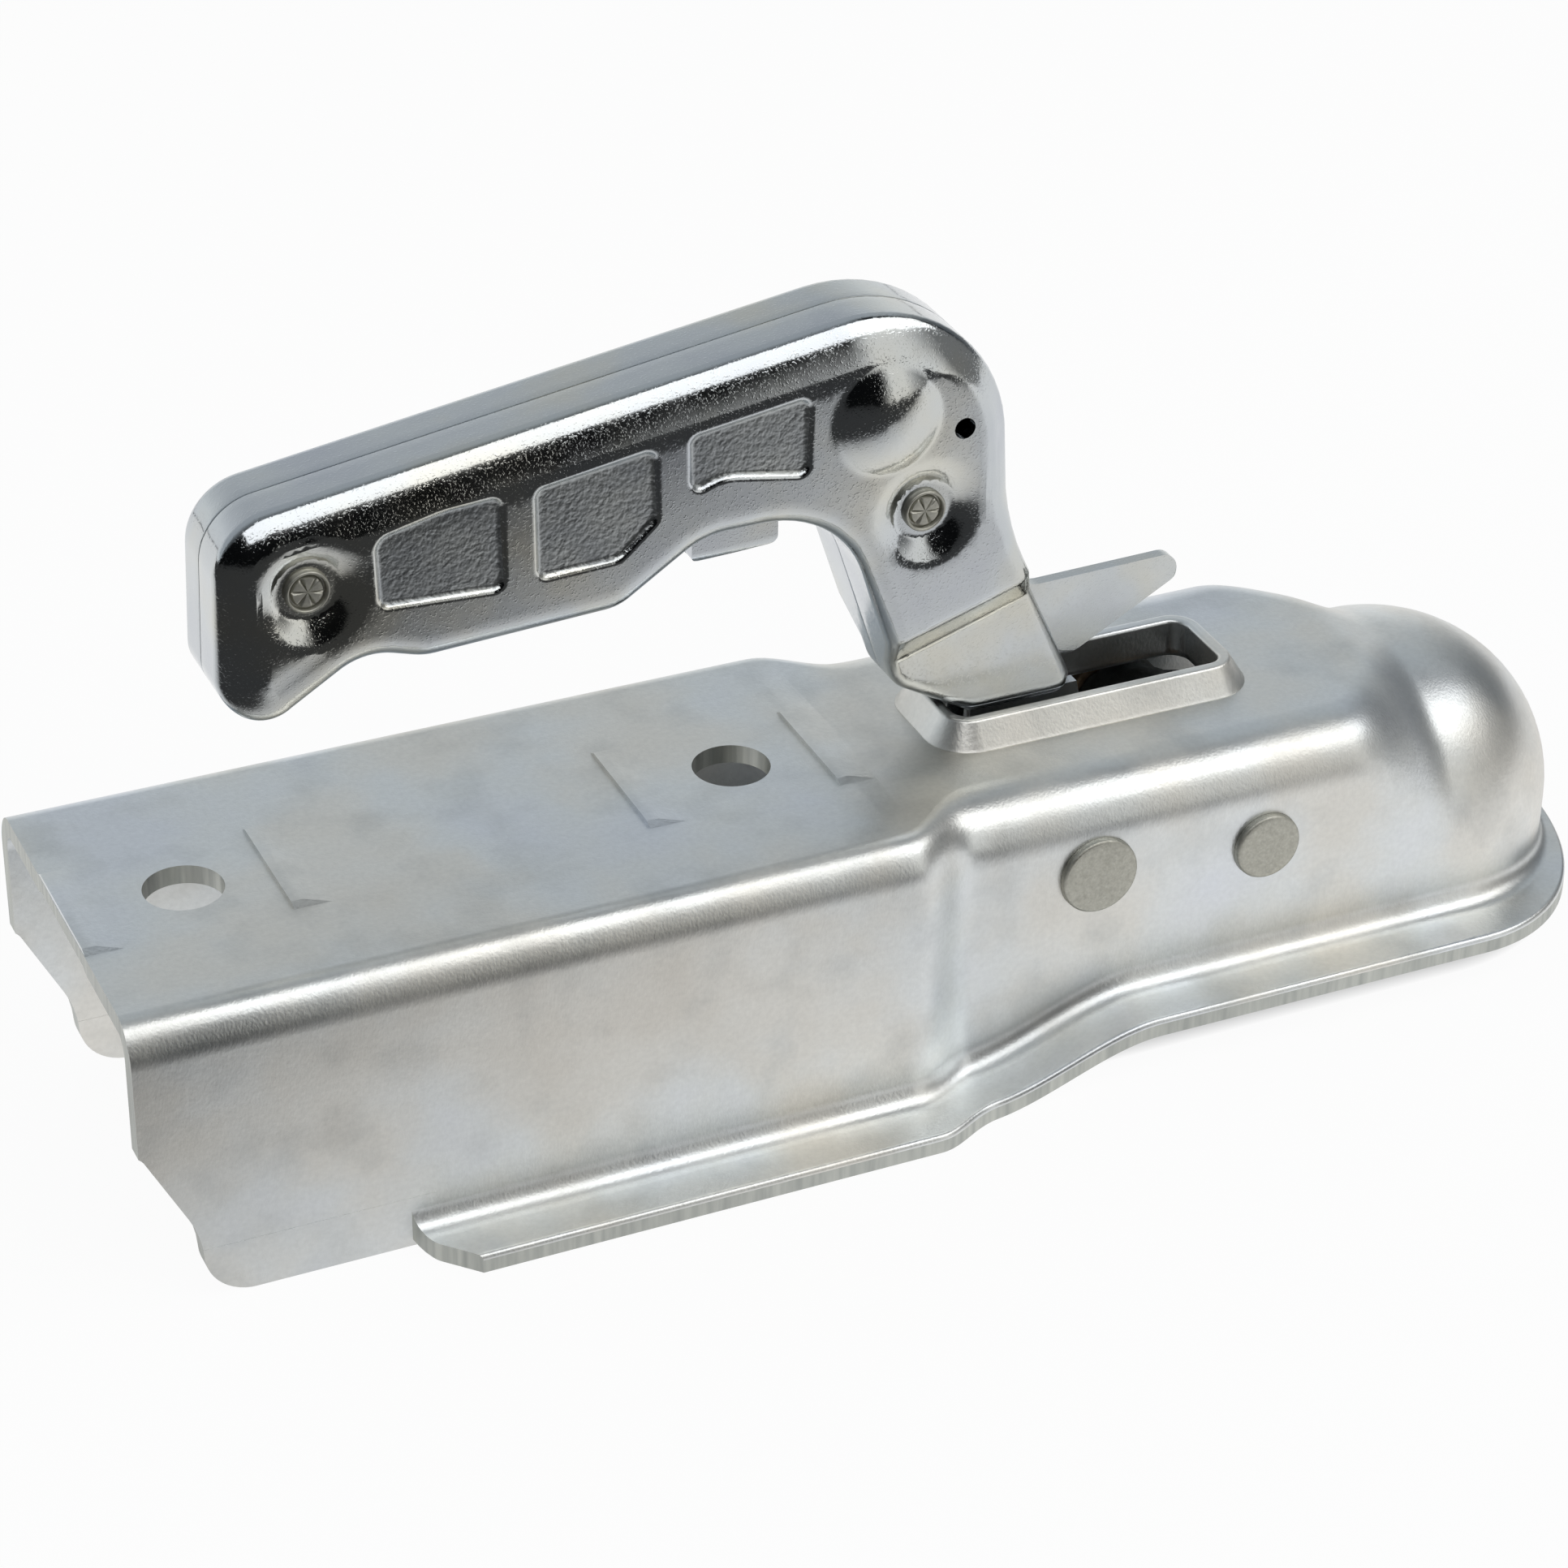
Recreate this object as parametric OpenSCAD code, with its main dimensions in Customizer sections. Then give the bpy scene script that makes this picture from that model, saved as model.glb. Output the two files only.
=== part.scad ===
// Coupling head for an unbraked trailer: a pressed steel shell with a ball socket, a riveted
// two-piece hand lever with a squeeze catch, and a pivoting jaw that holds the ball from behind.
// Origin at the centre of the towing ball, +X towards the front of the dome, +Z up.

/* [Ball and socket] */
// Diameter of the towing ball
ball_d = 50; // [49:0.5:51]
// Play between the ball and the pressed dome
socket_gap = 1.5; // [0.8:0.1:2]
// Play between the ball and the jaw's pad
pad_gap = 0.35; // [0.2:0.05:0.6]

/* [Drawbar] */
// Width of the square drawbar tube
tube_w = 60; // [58:0.5:62]
// Play between the tube and each side wall
tube_gap = 0.9; // [0.4:0.1:1.5]
// Diameter of the two upright bolt holes
bolt_d = 12.5; // [10.5:0.5:13]
// Distance between the two bolts
bolt_pitch = 90; // [84:1:94]
// Distance from the ball's centre back to the front bolt
bolt_x = 119; // [116:1:122]

/* [Pressed shell] */
// Thickness of the shell's sheet
sheet_t = 3.2; // [2.8:0.1:3.6]
// Height of the flat top above the ball's centre
top_h = 31.5; // [30.5:0.5:33]
// Distance from the rear bolt back to the shell's rear edge
rear_margin = 19; // [17:1:25]
// Depth of the rear channel, from the top to the underside of the foot flange
channel_depth = 50.3; // [49:0.5:54]
// Depth of the front part, from the top to the underside of the foot flange
front_depth = 42; // [41:0.5:44]
// Reach of the foot flange beyond the wall
flange_reach = 10.6; // [9:0.2:12]
// Outer bend radius along the rear top edges
rear_bend = 5; // [4.2:0.2:7]
// Outer bend radius along the front top edges
front_bend = 10; // [8:0.5:13]
// Hollow radius where the wall turns out into the foot flange
foot_bend = 4; // [2.5:0.5:5]
// Distance from the ball's centre back to where the wide channel starts to narrow
shoulder_x = 102; // [100:1:104]
// Length of the narrowing shoulder
shoulder_len = 12; // [9:1:15]
// Distance from the ball's centre back to where the foot flange starts to rise
rise_x = 93; // [90:1:96]
// Length over which the foot flange rises
rise_len = 32; // [26:1:36]

/* [Top opening] */
// Length of the opening for the hand lever
open_len = 47.9; // [45:0.1:49]
// Width of the opening
open_w = 14.6; // [13:0.2:15]
// Distance from the ball's centre back to the opening's front end
open_front = 34.8; // [34:0.2:38]
// Height of the collar above the top
collar_h = 4.4; // [3.5:0.2:5]
// Thickness of the drawn collar
collar_t = 2.3; // [1.8:0.1:2.8]

/* [Stiffening beads] */
// Length of a bead across the top
bead_w = 24.5; // [18:0.5:30]
// Run of a bead from its sheared step down to the flat
bead_run = 5.3; // [4:0.1:7]
// Height of a bead's sheared step
bead_h = 0.7; // [0.4:0.1:1]

/* [Pins] */
// Diameter of the lever's pivot pin
lever_pin_d = 13.2; // [12:0.2:14]
// Distance from the ball's centre back to the lever's pivot
lever_pin_x = 68.5; // [68:0.5:69]
// Distance from the flat top down to the lever's pivot
lever_pin_drop = 15.4; // [15.1:0.1:15.7]
// Diameter of the jaw's pivot pin
jaw_pin_d = 11.5; // [10.5:0.5:12]
// Distance from the ball's centre back to the jaw's pivot
jaw_pin_x = 37.9; // [37.5:0.1:38.3]
// Distance from the flat top down to the jaw's pivot
jaw_pin_drop = 17.5; // [17.3:0.1:17.9]
// How far a pin stands out of each wall
pin_stand = 1.3; // [0.8:0.1:2]
// Radial clearance of a fixed pin in the walls
fixed_gap = 0.03; // [0.02:0.01:0.06]
// Radial running clearance of a part that turns on a pin
run_gap = 0.08; // [0.04:0.01:0.09]

/* [Hand lever] */
// Thickness of the lever's sheet
lever_t = 2; // [1.6:0.1:2.2]
// Half width of the lever over its grip and head
grip_half = 11; // [10:0.5:12.5]
// Edge radius of the drawn grip
grip_bend = 6.4; // [5:0.1:6.6]
// Half width of the lever's arm where it enters the collar
arm_half = 5.9; // [5.6:0.1:6.2]
// Half width of the lever's lugs on the pivot pin
lug_half = 4.9; // [4.6:0.1:5.2]
// Outer radius of the lever's lugs
lug_r = 12; // [11:0.2:12]
// Gap at the seam between the two halves, from the centre plane to each half
seam_gap = 0.04; // [0.02:0.01:0.1]
// Depth of the recessed panels in the grip
panel_depth = 0.7; // [0.4:0.1:1]
// Height of the round boss on the head
boss_h = 2.4; // [1.5:0.1:3]
// Depth of the dish round each rivet
dish_depth = 2; // [1:0.1:2.4]

/* [Rivets and catch] */
// Diameter of a rivet's shank
rivet_d = 5.8; // [5:0.2:6.4]
// Diameter of a rivet's head
rivet_head_d = 8.4; // [7.6:0.2:9]
// Thickness of the catch's plate
catch_t = 2; // [1.6:0.1:2.4]
// Width of the catch's folded trigger
trigger_w = 8; // [6:0.5:8.5]

/* [Springs] */
// Wire of the jaw's spring
jaw_wire = 2.4; // [2:0.1:2.6]
// Wire of the lever's spring
lever_wire = 2.2; // [1.8:0.1:2.3]
// Wire of the catch's spring
catch_wire = 1.2; // [0.9:0.1:1.4]

/* [Hidden] */
$fn = 64;
eps = 0.01;

// Main sizes that follow from the ones above
nose_half = ball_d / 2 + socket_gap + sheet_t;
rear_half = tube_w / 2 + tube_gap + sheet_t;
wall_gap = 0.2;
rear_x = bolt_x + bolt_pitch + rear_margin;
lever_pin_z = top_h - lever_pin_drop;
jaw_pin_z = top_h - jaw_pin_drop;
roof_z = top_h - sheet_t;
rear_foot = top_h - channel_depth;
front_foot = top_h - front_depth;
dome_start = -22;
dome_end = 0;
crown_start = -10;
apex_flat = 1.6;
lever_at = [-lever_pin_x, 0, lever_pin_z];
jaw_at = [-jaw_pin_x, 0, jaw_pin_z];
steel = [0.74, 0.76, 0.76];
bright = [0.8, 0.82, 0.82];
bare = [0.56, 0.56, 0.54];
cast = [0.45, 0.46, 0.47];
wire_tone = [0.38, 0.34, 0.31];

// Smooth change from a to b as x runs from x0 to x1
function ease(t) = let (c = min(1, max(0, t))) c * c * (3 - 2 * c);
function blend(x, x0, x1, a, b) = a + (b - a) * ease((x - x0) / (x1 - x0));

// Rounded outlines: each corner is [x, z, radius], listed anticlockwise, and inset moves the
// whole outline inwards with its arcs kept concentric
function turn_left(v) = [-v[1], v[0]];
function unit(v) = v / norm(v);
function side_of(c, i) = unit(turn_left([for (k = [0, 1]) c[(i + 1) % len(c)][k] - c[i][k]]));
function corner_arc(q, r, n1, n2, inset, step) =
    let (bend = n1[0] * n2[1] - n1[1] * n2[0])
    let (way = bend < 0 ? -1 : 1)
    let (angle = atan2(bend, n1 * n2))
    let (centre = q + way * r * (n1 + n2) / (1 + n1 * n2))
    let (steps = max(1, ceil(abs(angle) / step)))
    let (rho = r - way * inset)
    [for (i = [0:abs(angle) < 0.5 ? 0 : steps])
        let (a = angle * i / steps)
        centre - way * rho * [n1[0] * cos(a) - n1[1] * sin(a), n1[0] * sin(a) + n1[1] * cos(a)]];
function outline(c, inset = 0, step = 15) =
    [for (i = [0:len(c) - 1])
        each corner_arc([c[i][0], c[i][1]], c[i][2], side_of(c, (i + len(c) - 1) % len(c)),
            side_of(c, i), inset, step)];

// Triangles that fill an outline with hollows in it, by cutting off one corner after another
function area2(a, b, c) = (b[0] - a[0]) * (c[1] - a[1]) - (b[1] - a[1]) * (c[0] - a[0]);
function covers(p, a, b, c) = area2(a, b, p) > -eps && area2(b, c, p) > -eps && area2(c, a, p) > -eps;
function is_ear(p, ids, i) =
    let (m = len(ids), k0 = (i + m - 1) % m, k1 = (i + 1) % m)
    let (a = p[ids[k0]], b = p[ids[i]], c = p[ids[k1]])
    area2(a, b, c) > eps / 10
        && len([for (j = [0:m - 1]) if (j != i && j != k0 && j != k1 && covers(p[ids[j]], a, b, c)) 1]) == 0;
function next_ear(p, ids, i, tries) =
    tries == 0 ? i : is_ear(p, ids, i) ? i : next_ear(p, ids, (i + 1) % len(ids), tries - 1);
function filled(p, ids, start = 0, done = []) =
    let (m = len(ids))
    m == 3 ? concat(done, [ids])
    : let (e = next_ear(p, ids, start % m, m))
      filled(p, [for (j = [0:m - 1]) if (j != e) ids[j]], e + 1,
          concat(done, [[ids[(e + m - 1) % m], ids[e], ids[(e + 1) % m]]]));
function flipped(faces) = [for (f = faces) [f[0], f[2], f[1]]];
function lifted(faces, n) = [for (f = faces) [for (i = f) i + n]];

// Upright plate between y0 and y1 with an outline in X and Z
module plate(points, y0, y1) {
    translate([0, y1, 0]) rotate([90, 0, 0]) linear_extrude(y1 - y0) polygon(points);
}

// Round bar along Y between y0 and y1
module bar(r, y0, y1) {
    translate([0, y1, 0]) rotate([90, 0, 0]) cylinder(r = r, h = y1 - y0);
}

// Tube along Y between y0 and y1
module tube(r_in, r_out, y0, y1) {
    difference() {
        bar(r_out, y0, y1);
        bar(r_in, y0 - 1, y1 + 1);
    }
}

// Wall of the pressed shell: half section in [distance from the centre line, z]
bend_steps = 10;
foot_steps = 4;
front_reach = 1.7;
function reach_at(turn) = front_reach + (flange_reach - front_reach) * pow(abs(sin(turn)), 2.6);
function foot_at_turn(turn) = foot_bend * (0.2 + 0.8 * pow(sin(turn), 2));
function outer_half(w, r, zt, zf, reach, foot) = concat(
    [[0, zt]],
    [for (i = [0:bend_steps]) let (a = 90 * i / bend_steps) [w - r + r * sin(a), zt - r + r * cos(a)]],
    [for (i = [0:foot_steps]) let (a = 90 * i / foot_steps)
        [w + foot - foot * cos(a), zf + sheet_t + foot - foot * sin(a)]],
    [[w + reach, zf + sheet_t]]);
function inner_half(w, r, zt, zf, reach, foot) = let (rf = foot + sheet_t) concat(
    [[w + reach, zf]],
    [for (i = [foot_steps:-1:0]) let (a = 90 * i / foot_steps)
        [w + foot - rf * cos(a), zf + rf - rf * sin(a)]],
    [for (i = [bend_steps:-1:0]) let (a = 90 * i / bend_steps)
        [w - r + (r - sheet_t) * sin(a), zt - r + (r - sheet_t) * cos(a)]],
    [[0, zt - sheet_t]]);
function half_width(x) = blend(x, -shoulder_x, shoulder_len - shoulder_x, rear_half, nose_half);
function edge_bend(x) = x < dome_start
    ? blend(x, -shoulder_x - 2, shoulder_len + 4 - shoulder_x, rear_bend, front_bend)
    : blend(x, dome_start, dome_end, front_bend, nose_half - apex_flat);
function top_at(x) = blend(x, crown_start, dome_end, top_h, nose_half);
function foot_at(x) = blend(x, -rise_x, rise_len - rise_x, rear_foot, front_foot);
function shell_ring(x, turn) =
    let (w = half_width(x), r = edge_bend(x), zt = top_at(x), zf = foot_at(x))
    let (reach = reach_at(turn), foot = foot_at_turn(turn))
    concat(outer_half(w, r, zt, zf, reach, foot), inner_half(w, r, zt, zf, reach, foot));

// Stations run from the rear along the left wall, round the dome and back along the right wall
shoulder_at = [for (i = [0:12]) -shoulder_x - 2 + (rise_len + shoulder_x - rise_x + 2) * i / 12];
dome_at = [for (i = [0:10]) dome_start + (dome_end - dome_start) * i / 10];
straight_at = concat([-rear_x], shoulder_at, dome_at);
dome_steps = 22;
stations = concat(
    [for (x = straight_at) [x, 90]],
    [for (i = [1:dome_steps - 1]) [0, 90 - 180 * i / dome_steps]],
    [for (i = [len(straight_at) - 1:-1:0]) [straight_at[i], -90]]);
first_turn = len(straight_at) - 1;

module shell_skin() {
    rings = [for (s = stations) [for (p = shell_ring(s[0], s[1]))
        [s[0] + p[0] * cos(s[1]), p[0] * sin(s[1]), p[1]]]];
    n = len(rings[0]);
    last = len(stations) - 1;
    walls = [for (j = [0:last - 1], k = [0:n - 2])
        let (turning = j >= first_turn && j < first_turn + dome_steps)
        let (a = j * n + k, b = a + 1, c = a + n + 1, d = a + n)
        each (turning && k == 0 ? [[a, b, c]]
            : turning && k == n - 2 ? [[a, b, d]]
            : [[a, b, c], [a, c, d]])];
    ends = [for (k = [0:n / 2 - 2])
        let (a = k, b = k + 1, c = n - 2 - k, d = n - 1 - k, e = last * n)
        each [[a, c, b], [a, d, c], [e + a, e + b, e + c], [e + a, e + c, e + d]]];
    polyhedron([for (r = rings) each r], concat(walls, ends), convexity = 8);
}

// Sweep of a profile [outward from the opening's edge, z] round the top opening
open_corner = 2.6;
open_mid = -open_front - open_len / 2;
module round_opening() {
    lx = open_len / 2 - open_corner;
    ly = open_w / 2 - open_corner;
    translate([open_mid, 0, 0]) {
        for (i = [0:3]) {
            translate([(i == 0 || i == 3 ? 1 : -1) * lx, (i < 2 ? 1 : -1) * ly, 0])
                rotate([0, 0, 90 * i])
                    rotate_extrude(angle = 90) translate([open_corner, 0]) children();
        }
        for (s = [0, 180]) rotate([0, 0, s]) {
            translate([-lx, ly + open_corner, 0])
                rotate([90, 0, 90]) linear_extrude(2 * lx) children();
            translate([lx + open_corner, ly, 0])
                rotate([90, 0, 0]) linear_extrude(2 * ly) children();
        }
    }
}

module opening_block(z0, z1) {
    translate([open_mid, 0, z0]) linear_extrude(z1 - z0) {
        square([open_len, open_w - 2 * open_corner], center = true);
        square([open_len - 2 * open_corner, open_w], center = true);
        for (sx = [-1, 1], sy = [-1, 1])
            translate([sx * (open_len / 2 - open_corner), sy * (open_w / 2 - open_corner)])
                circle(r = open_corner);
    }
}

// Drawn collar: upright rim with a hollow foot on the outside, a hair into the roof
collar_foot = 2.6;
rim_round = 0.6;
module collar_profile() {
    rim_z = top_h + collar_h;
    difference() {
        union() {
            translate([0, roof_z + 0.5]) square([collar_t, rim_z - roof_z - 0.5]);
            translate([0, top_h - 1]) square([collar_t + collar_foot, 1 + collar_foot]);
        }
        translate([collar_t + collar_foot, top_h + collar_foot - 0.06]) circle(r = collar_foot);
        for (u = [0, 1]) translate([u * collar_t, rim_z]) rotate(90 * u) difference() {
            translate([-1, -rim_round]) square([1 + rim_round, 1 + rim_round]);
            translate([rim_round, -rim_round]) circle(r = rim_round);
        }
    }
}

// Bend under the collar, where the roof turns up into it
under_bend = 2.4;
module under_profile() {
    difference() {
        translate([-1, roof_z - 1]) square([1 + under_bend, 1 + under_bend]);
        translate([under_bend, roof_z + under_bend]) circle(r = under_bend);
        translate([under_bend, roof_z]) square([2, under_bend]);
    }
}

// One stiffening bead: sheared step at x = 0, run down to z = 0, and a root below that
module bead(root) {
    deep = 1 + root / bead_h;
    intersection() {
        plate([[0, -root], [bead_run * deep, -root], [0, bead_h]], -bead_w, bead_w);
        rotate([90, 0, 90]) linear_extrude(bead_run * deep) polygon([
            [-bead_w / 2 - 3 * root, -root], [bead_w / 2 + 3 * root, -root],
            [bead_w / 2 - 3 * bead_h, bead_h], [3 * bead_h - bead_w / 2, bead_h]]);
    }
}

// Each bolt has a bead behind it and one ahead
bead_back = 19;
bead_ahead = 13.3;
bead_at = [for (b = [bolt_x + bolt_pitch, bolt_x]) each [-b - bead_back, -b + bead_ahead]];

// Rear end of each side wall, as a cutter behind the wall in X and Z
wall_end_z = 21.5;
wall_end_run = 8.6;
module wall_end_cutter() {
    x0 = -rear_x;
    x1 = x0 + wall_end_run;
    points = outline([
        [x0 - 20, rear_foot - 10, 0], [x1 + 20, rear_foot - 10, 0],
        [x1 + 20, rear_foot, 0], [x1 + 0.6, rear_foot, 8], [x1, rear_foot + 11.8, 18],
        [x0, top_h - wall_end_z, 3], [x0 - 20, top_h - wall_end_z, 0]], 0, 12);
    plate(points, -rear_half - 30, rear_half + 30);
}

// Rear end of the foot flange, which starts some way along the wall
flange_start = 41.5;
hair = 0.03;
module flange_end_cutter() {
    x1 = flange_start - rear_x;
    points = outline([
        [-rear_x - 5, rear_half + hair, 0], [x1, rear_half + hair, 0], [x1 + 2.2, rear_half + 5, 4],
        [x1 + 7.5, rear_half + flange_reach, 0], [x1 + 7.5, rear_half + flange_reach + 5, 0],
        [-rear_x - 5, rear_half + flange_reach + 5, 0]], 0, 12);
    for (s = [0, 1]) mirror([0, s, 0])
        translate([0, 0, rear_foot - 1]) linear_extrude(foot_bend + sheet_t + 2) polygon(points);
}

module housing() color(steel) {
    difference() {
        union() {
            difference() {
                shell_skin();
                flange_end_cutter();
            }
            for (s = [0, 1]) mirror([0, s, 0])
                translate([-rear_x, rear_half - sheet_t - hair, rear_foot + hair])
                    cube([flange_start + 4, sheet_t + 3 * hair, foot_bend + sheet_t + 2]);
            round_opening() collar_profile();
            for (x = bead_at) translate([x + hair, 0, top_h]) bead(0.4);
        }
        wall_end_cutter();
        opening_block(roof_z - 1, top_h + collar_h + 1);
        round_opening() under_profile();
        for (x = bead_at) translate([x, 0, roof_z]) bead(0.4);
        for (b = [bolt_x, bolt_x + bolt_pitch])
            translate([-b, 0, roof_z - 1]) cylinder(d = bolt_d, h = sheet_t + 2);
        translate(lever_at) bar(lever_pin_d / 2 + fixed_gap, -nose_half - 5, nose_half + 5);
        translate(jaw_at) bar(jaw_pin_d / 2 + fixed_gap, -nose_half - 5, nose_half + 5);
    }
}

// Pin across both walls, with eased ends and a small centre mark
module cross_pin(d) {
    reach = nose_half + pin_stand;
    ease_r = 0.5;
    rotate([90, 0, 0]) rotate_extrude() polygon([
        [0, -reach], [d / 2 - ease_r, -reach], [d / 2, -reach + ease_r],
        [d / 2, reach - ease_r], [d / 2 - ease_r, reach], [0.8, reach], [0, reach - 0.5]]);
}

module lever_pin() color(bare) translate(lever_at) cross_pin(lever_pin_d);
module jaw_pin() color(bare) translate(jaw_at) cross_pin(jaw_pin_d);

// Hand lever, drawn about its pivot: x forward, z up
rivet_rear = [-121.7, 67.1];
rivet_front = [-22.6, 59.8];
boss_at = [-30, 77.1];
peep_at = [-16.9, 73.4];
arm_foot_z = 18.7;
arm_slot = [-15.5, 16];
crease_low = 37.8;
crease_rise = 6.3;
crease_up = crease_low + crease_rise;
crease_turn = 17.5;
function level_of(p) = p[1] * cos(crease_turn) - p[0] * sin(crease_turn);

// Point on the line from a to b at a given height along the arm
function at_level(a, b, level) =
    a + (b - a) * (level - level_of(a)) / (level_of(b) - level_of(a));
head_knee = [-7.5, 53.4];
arm_front = [8.4, arm_foot_z];
heel = [-24.7, 26.6];
arch_back = [-36.7, 63.1];
function crease_corner(a, b, level) = let (p = at_level(a, b, level)) [p[0], p[1], 0];
lever_outline = [
    [-134.6, 78.4, 10], [-135.6, 50.9, 6.8], [-129.2, 45.1, 6.8], [-113.6, 55.2, 10], [-104.3, 52.3, 10],
    [-73.2, 53.8, 8], [-59.3, 62.9, 12], [arch_back[0], arch_back[1], 18],
    crease_corner(arch_back, heel, crease_up), crease_corner(arch_back, heel, crease_low),
    [heel[0], heel[1], 6], [-11, arm_foot_z, 3], [arm_front[0], arm_front[1], 3],
    crease_corner(arm_front, head_knee, crease_low), crease_corner(arm_front, head_knee, crease_up),
    [head_knee[0], head_knee[1], 30], [-8.1, 97.3, 25]];

// Drawn tray: side wall, rounded edge and face, with the face stepped in below the crease
tray_steps = 4;
arm_bend = 2;
function upper(p) = level_of(p) > (crease_up + crease_low) / 2;
module tray(shift) {
    base = outline(lever_outline);
    n = len(base);
    wide = grip_half - shift;
    slim = arm_half - shift;
    r_wide = grip_bend - shift;
    r_slim = max(0.3, arm_bend - shift);
    function ring(inset_a, inset_b, ya, yb) =
        let (a = outline(lever_outline, inset_a), b = outline(lever_outline, inset_b))
        [for (i = [0:n - 1]) upper(base[i]) ? [a[i][0], -ya, a[i][1]] : [b[i][0], -yb, b[i][1]]];
    rings = concat(
        [ring(shift, shift, -shift - seam_gap * (shift > 0 ? 0 : -1), -shift - seam_gap * (shift > 0 ? 0 : -1))],
        [for (i = [0:tray_steps]) let (a = 90 * i / tray_steps)
            ring(shift + r_wide * (1 - cos(a)), shift + r_slim * (1 - cos(a)),
                wide - r_wide * (1 - sin(a)), slim - r_slim * (1 - sin(a)))]);
    m = len(rings);
    last = [for (p = rings[m - 1]) [p[0], p[2]]];
    top = [for (i = [0:n - 1]) if (upper(base[i])) i];
    low = [for (i = [0:n - 1]) if (!upper(base[i])) i];
    l0 = low[0];
    l1 = low[len(low) - 1];
    turned = concat([for (i = top) if (i > l1) i], [for (i = top) if (i < l0) i]);
    sides = [for (j = [0:m - 2], k = [0:n - 1])
        let (a = j * n + k, b = j * n + (k + 1) % n, c = b + n, d = a + n)
        each [[a, c, b], [a, d, c]]];
    face = concat(filled(last, turned), filled(last, low), [[l0 - 1, l0, l1], [l0 - 1, l1, l1 + 1]]);
    back = filled([for (p = rings[0]) [p[0], p[2]]], [for (k = [0:n - 1]) k]);
    polyhedron([for (r = rings) each r],
        concat(sides, back, flipped(lifted(face, (m - 1) * n))), convexity = 10);
}

// Round features of the face, shifted inwards by the sheet for the inside
module face_at(p) {
    translate([p[0], -grip_half, p[1]]) rotate([-90, 0, 0]) children();
}
boss_r = 9;
module boss(shift) {
    ball = (boss_r * boss_r + boss_h * boss_h) / (2 * boss_h);
    face_at(boss_at) intersection() {
        translate([0, 0, ball - boss_h]) sphere(r = ball - shift);
        translate([0, 0, -boss_h - 1]) cylinder(r = boss_r + 1, h = boss_h + 3);
    }
}
dish_r = 8.5;
dish_floor_r = 5.4;
module dish(shift) {
    slope = (dish_r - dish_floor_r) / dish_depth;
    low = dish_floor_r + shift * 0.4;
    face_at([0, 0]) translate([0, 0, -2])
        cylinder(r1 = low + slope * (dish_depth + 2), r2 = low, h = dish_depth + 2 + shift);
}

// Lug of one half: flat ear on the pivot pin, a little further in than the arm
lug_points = outline([[-11, arm_foot_z + 1.6, 0], [-lug_r, 3, 0], [-9, -3, 0], [9, -3, 0], [lug_r, 3, 0],
    [8, arm_foot_z + 1.6, 0]]);
cam_turn = -40;
cam_reach = 25.4;
cam_rivet_at = 15.6 * [cos(cam_turn), sin(cam_turn)];
module lug() {
    y0 = -lug_half;
    y1 = lever_t - lug_half;
    plate(lug_points, y0, y1);
    bar(lug_r, y0, y1);
    translate([cam_rivet_at[0], 0, cam_rivet_at[1]]) bar(5.5, y0, y1);
    rotate([0, -cam_turn, 0]) translate([0, y0, -5.5]) cube([norm(cam_rivet_at), lever_t, 11]);
}

// Recessed panels of the grip, with sloped edges
panel_slope = 0.9;
panel_1 = [[-111.6, 62.4, 2], [-91.6, 61.4, 2], [-91.6, 76.6, 2], [-100, 75.6, 20], [-112, 71.5, 2]];
panel_2 = [[-87, 61.8, 2], [-73.4, 62.4, 3], [-67.2, 68, 2], [-67.2, 80.3, 2], [-87, 77.3, 2]];
panel_3 = [[-62.4, 70.4, 2], [-57, 72.8, 8], [-42.5, 70.2, 2], [-42.4, 84, 2], [-62.5, 81, 2]];
module panel(c) {
    y = -grip_half;
    hull() {
        plate(outline(c, 0, 22), y - 1, y);
        plate(outline(c, panel_slope, 22), y - 1, y + panel_depth);
    }
}

trigger_slot = [-60.4, -43];
module handle_half() {
    difference() {
        union() {
            difference() {
                union() {
                    tray(0);
                    boss(0);
                }
                for (p = [rivet_rear, rivet_front]) translate([p[0], 0, p[1]]) dish(0);
                difference() {
                    union() {
                        tray(lever_t);
                        boss(lever_t);
                    }
                    for (p = [rivet_rear, rivet_front]) translate([p[0], 0, p[1]]) dish(lever_t);
                }
                translate([-9, lever_t - arm_half, arm_foot_z - 3]) cube([15.6, arm_half, 8]);
            }
            lug();
        }
        bar(lever_pin_d / 2 + run_gap, -lug_half - 1, 0);
        for (p = [rivet_rear, rivet_front])
            translate([p[0], 0, p[1]]) bar(rivet_d / 2 + fixed_gap, -grip_half - 1, 0);
        translate([cam_rivet_at[0], 0, cam_rivet_at[1]]) bar(2 + fixed_gap, -lug_half - 1, 0);
        translate([peep_at[0], 0, peep_at[1]]) bar(1.75, -grip_half - 1, 0);
        for (c = [panel_1, panel_2, panel_3]) panel(c);
        translate([arm_slot[0], -catch_t / 2 - 0.6, arm_foot_z - 5])
            cube([arm_slot[1] - arm_slot[0], catch_t, 28]);
        translate([trigger_slot[0], -trigger_w / 2 - 0.6, 60])
            cube([trigger_slot[1] - trigger_slot[0], trigger_w, 8]);
    }
}

module handle_half_right() color(bright) translate(lever_at) handle_half();
module handle_half_left() color(bright) translate(lever_at) mirror([0, 1, 0]) handle_half();

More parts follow.
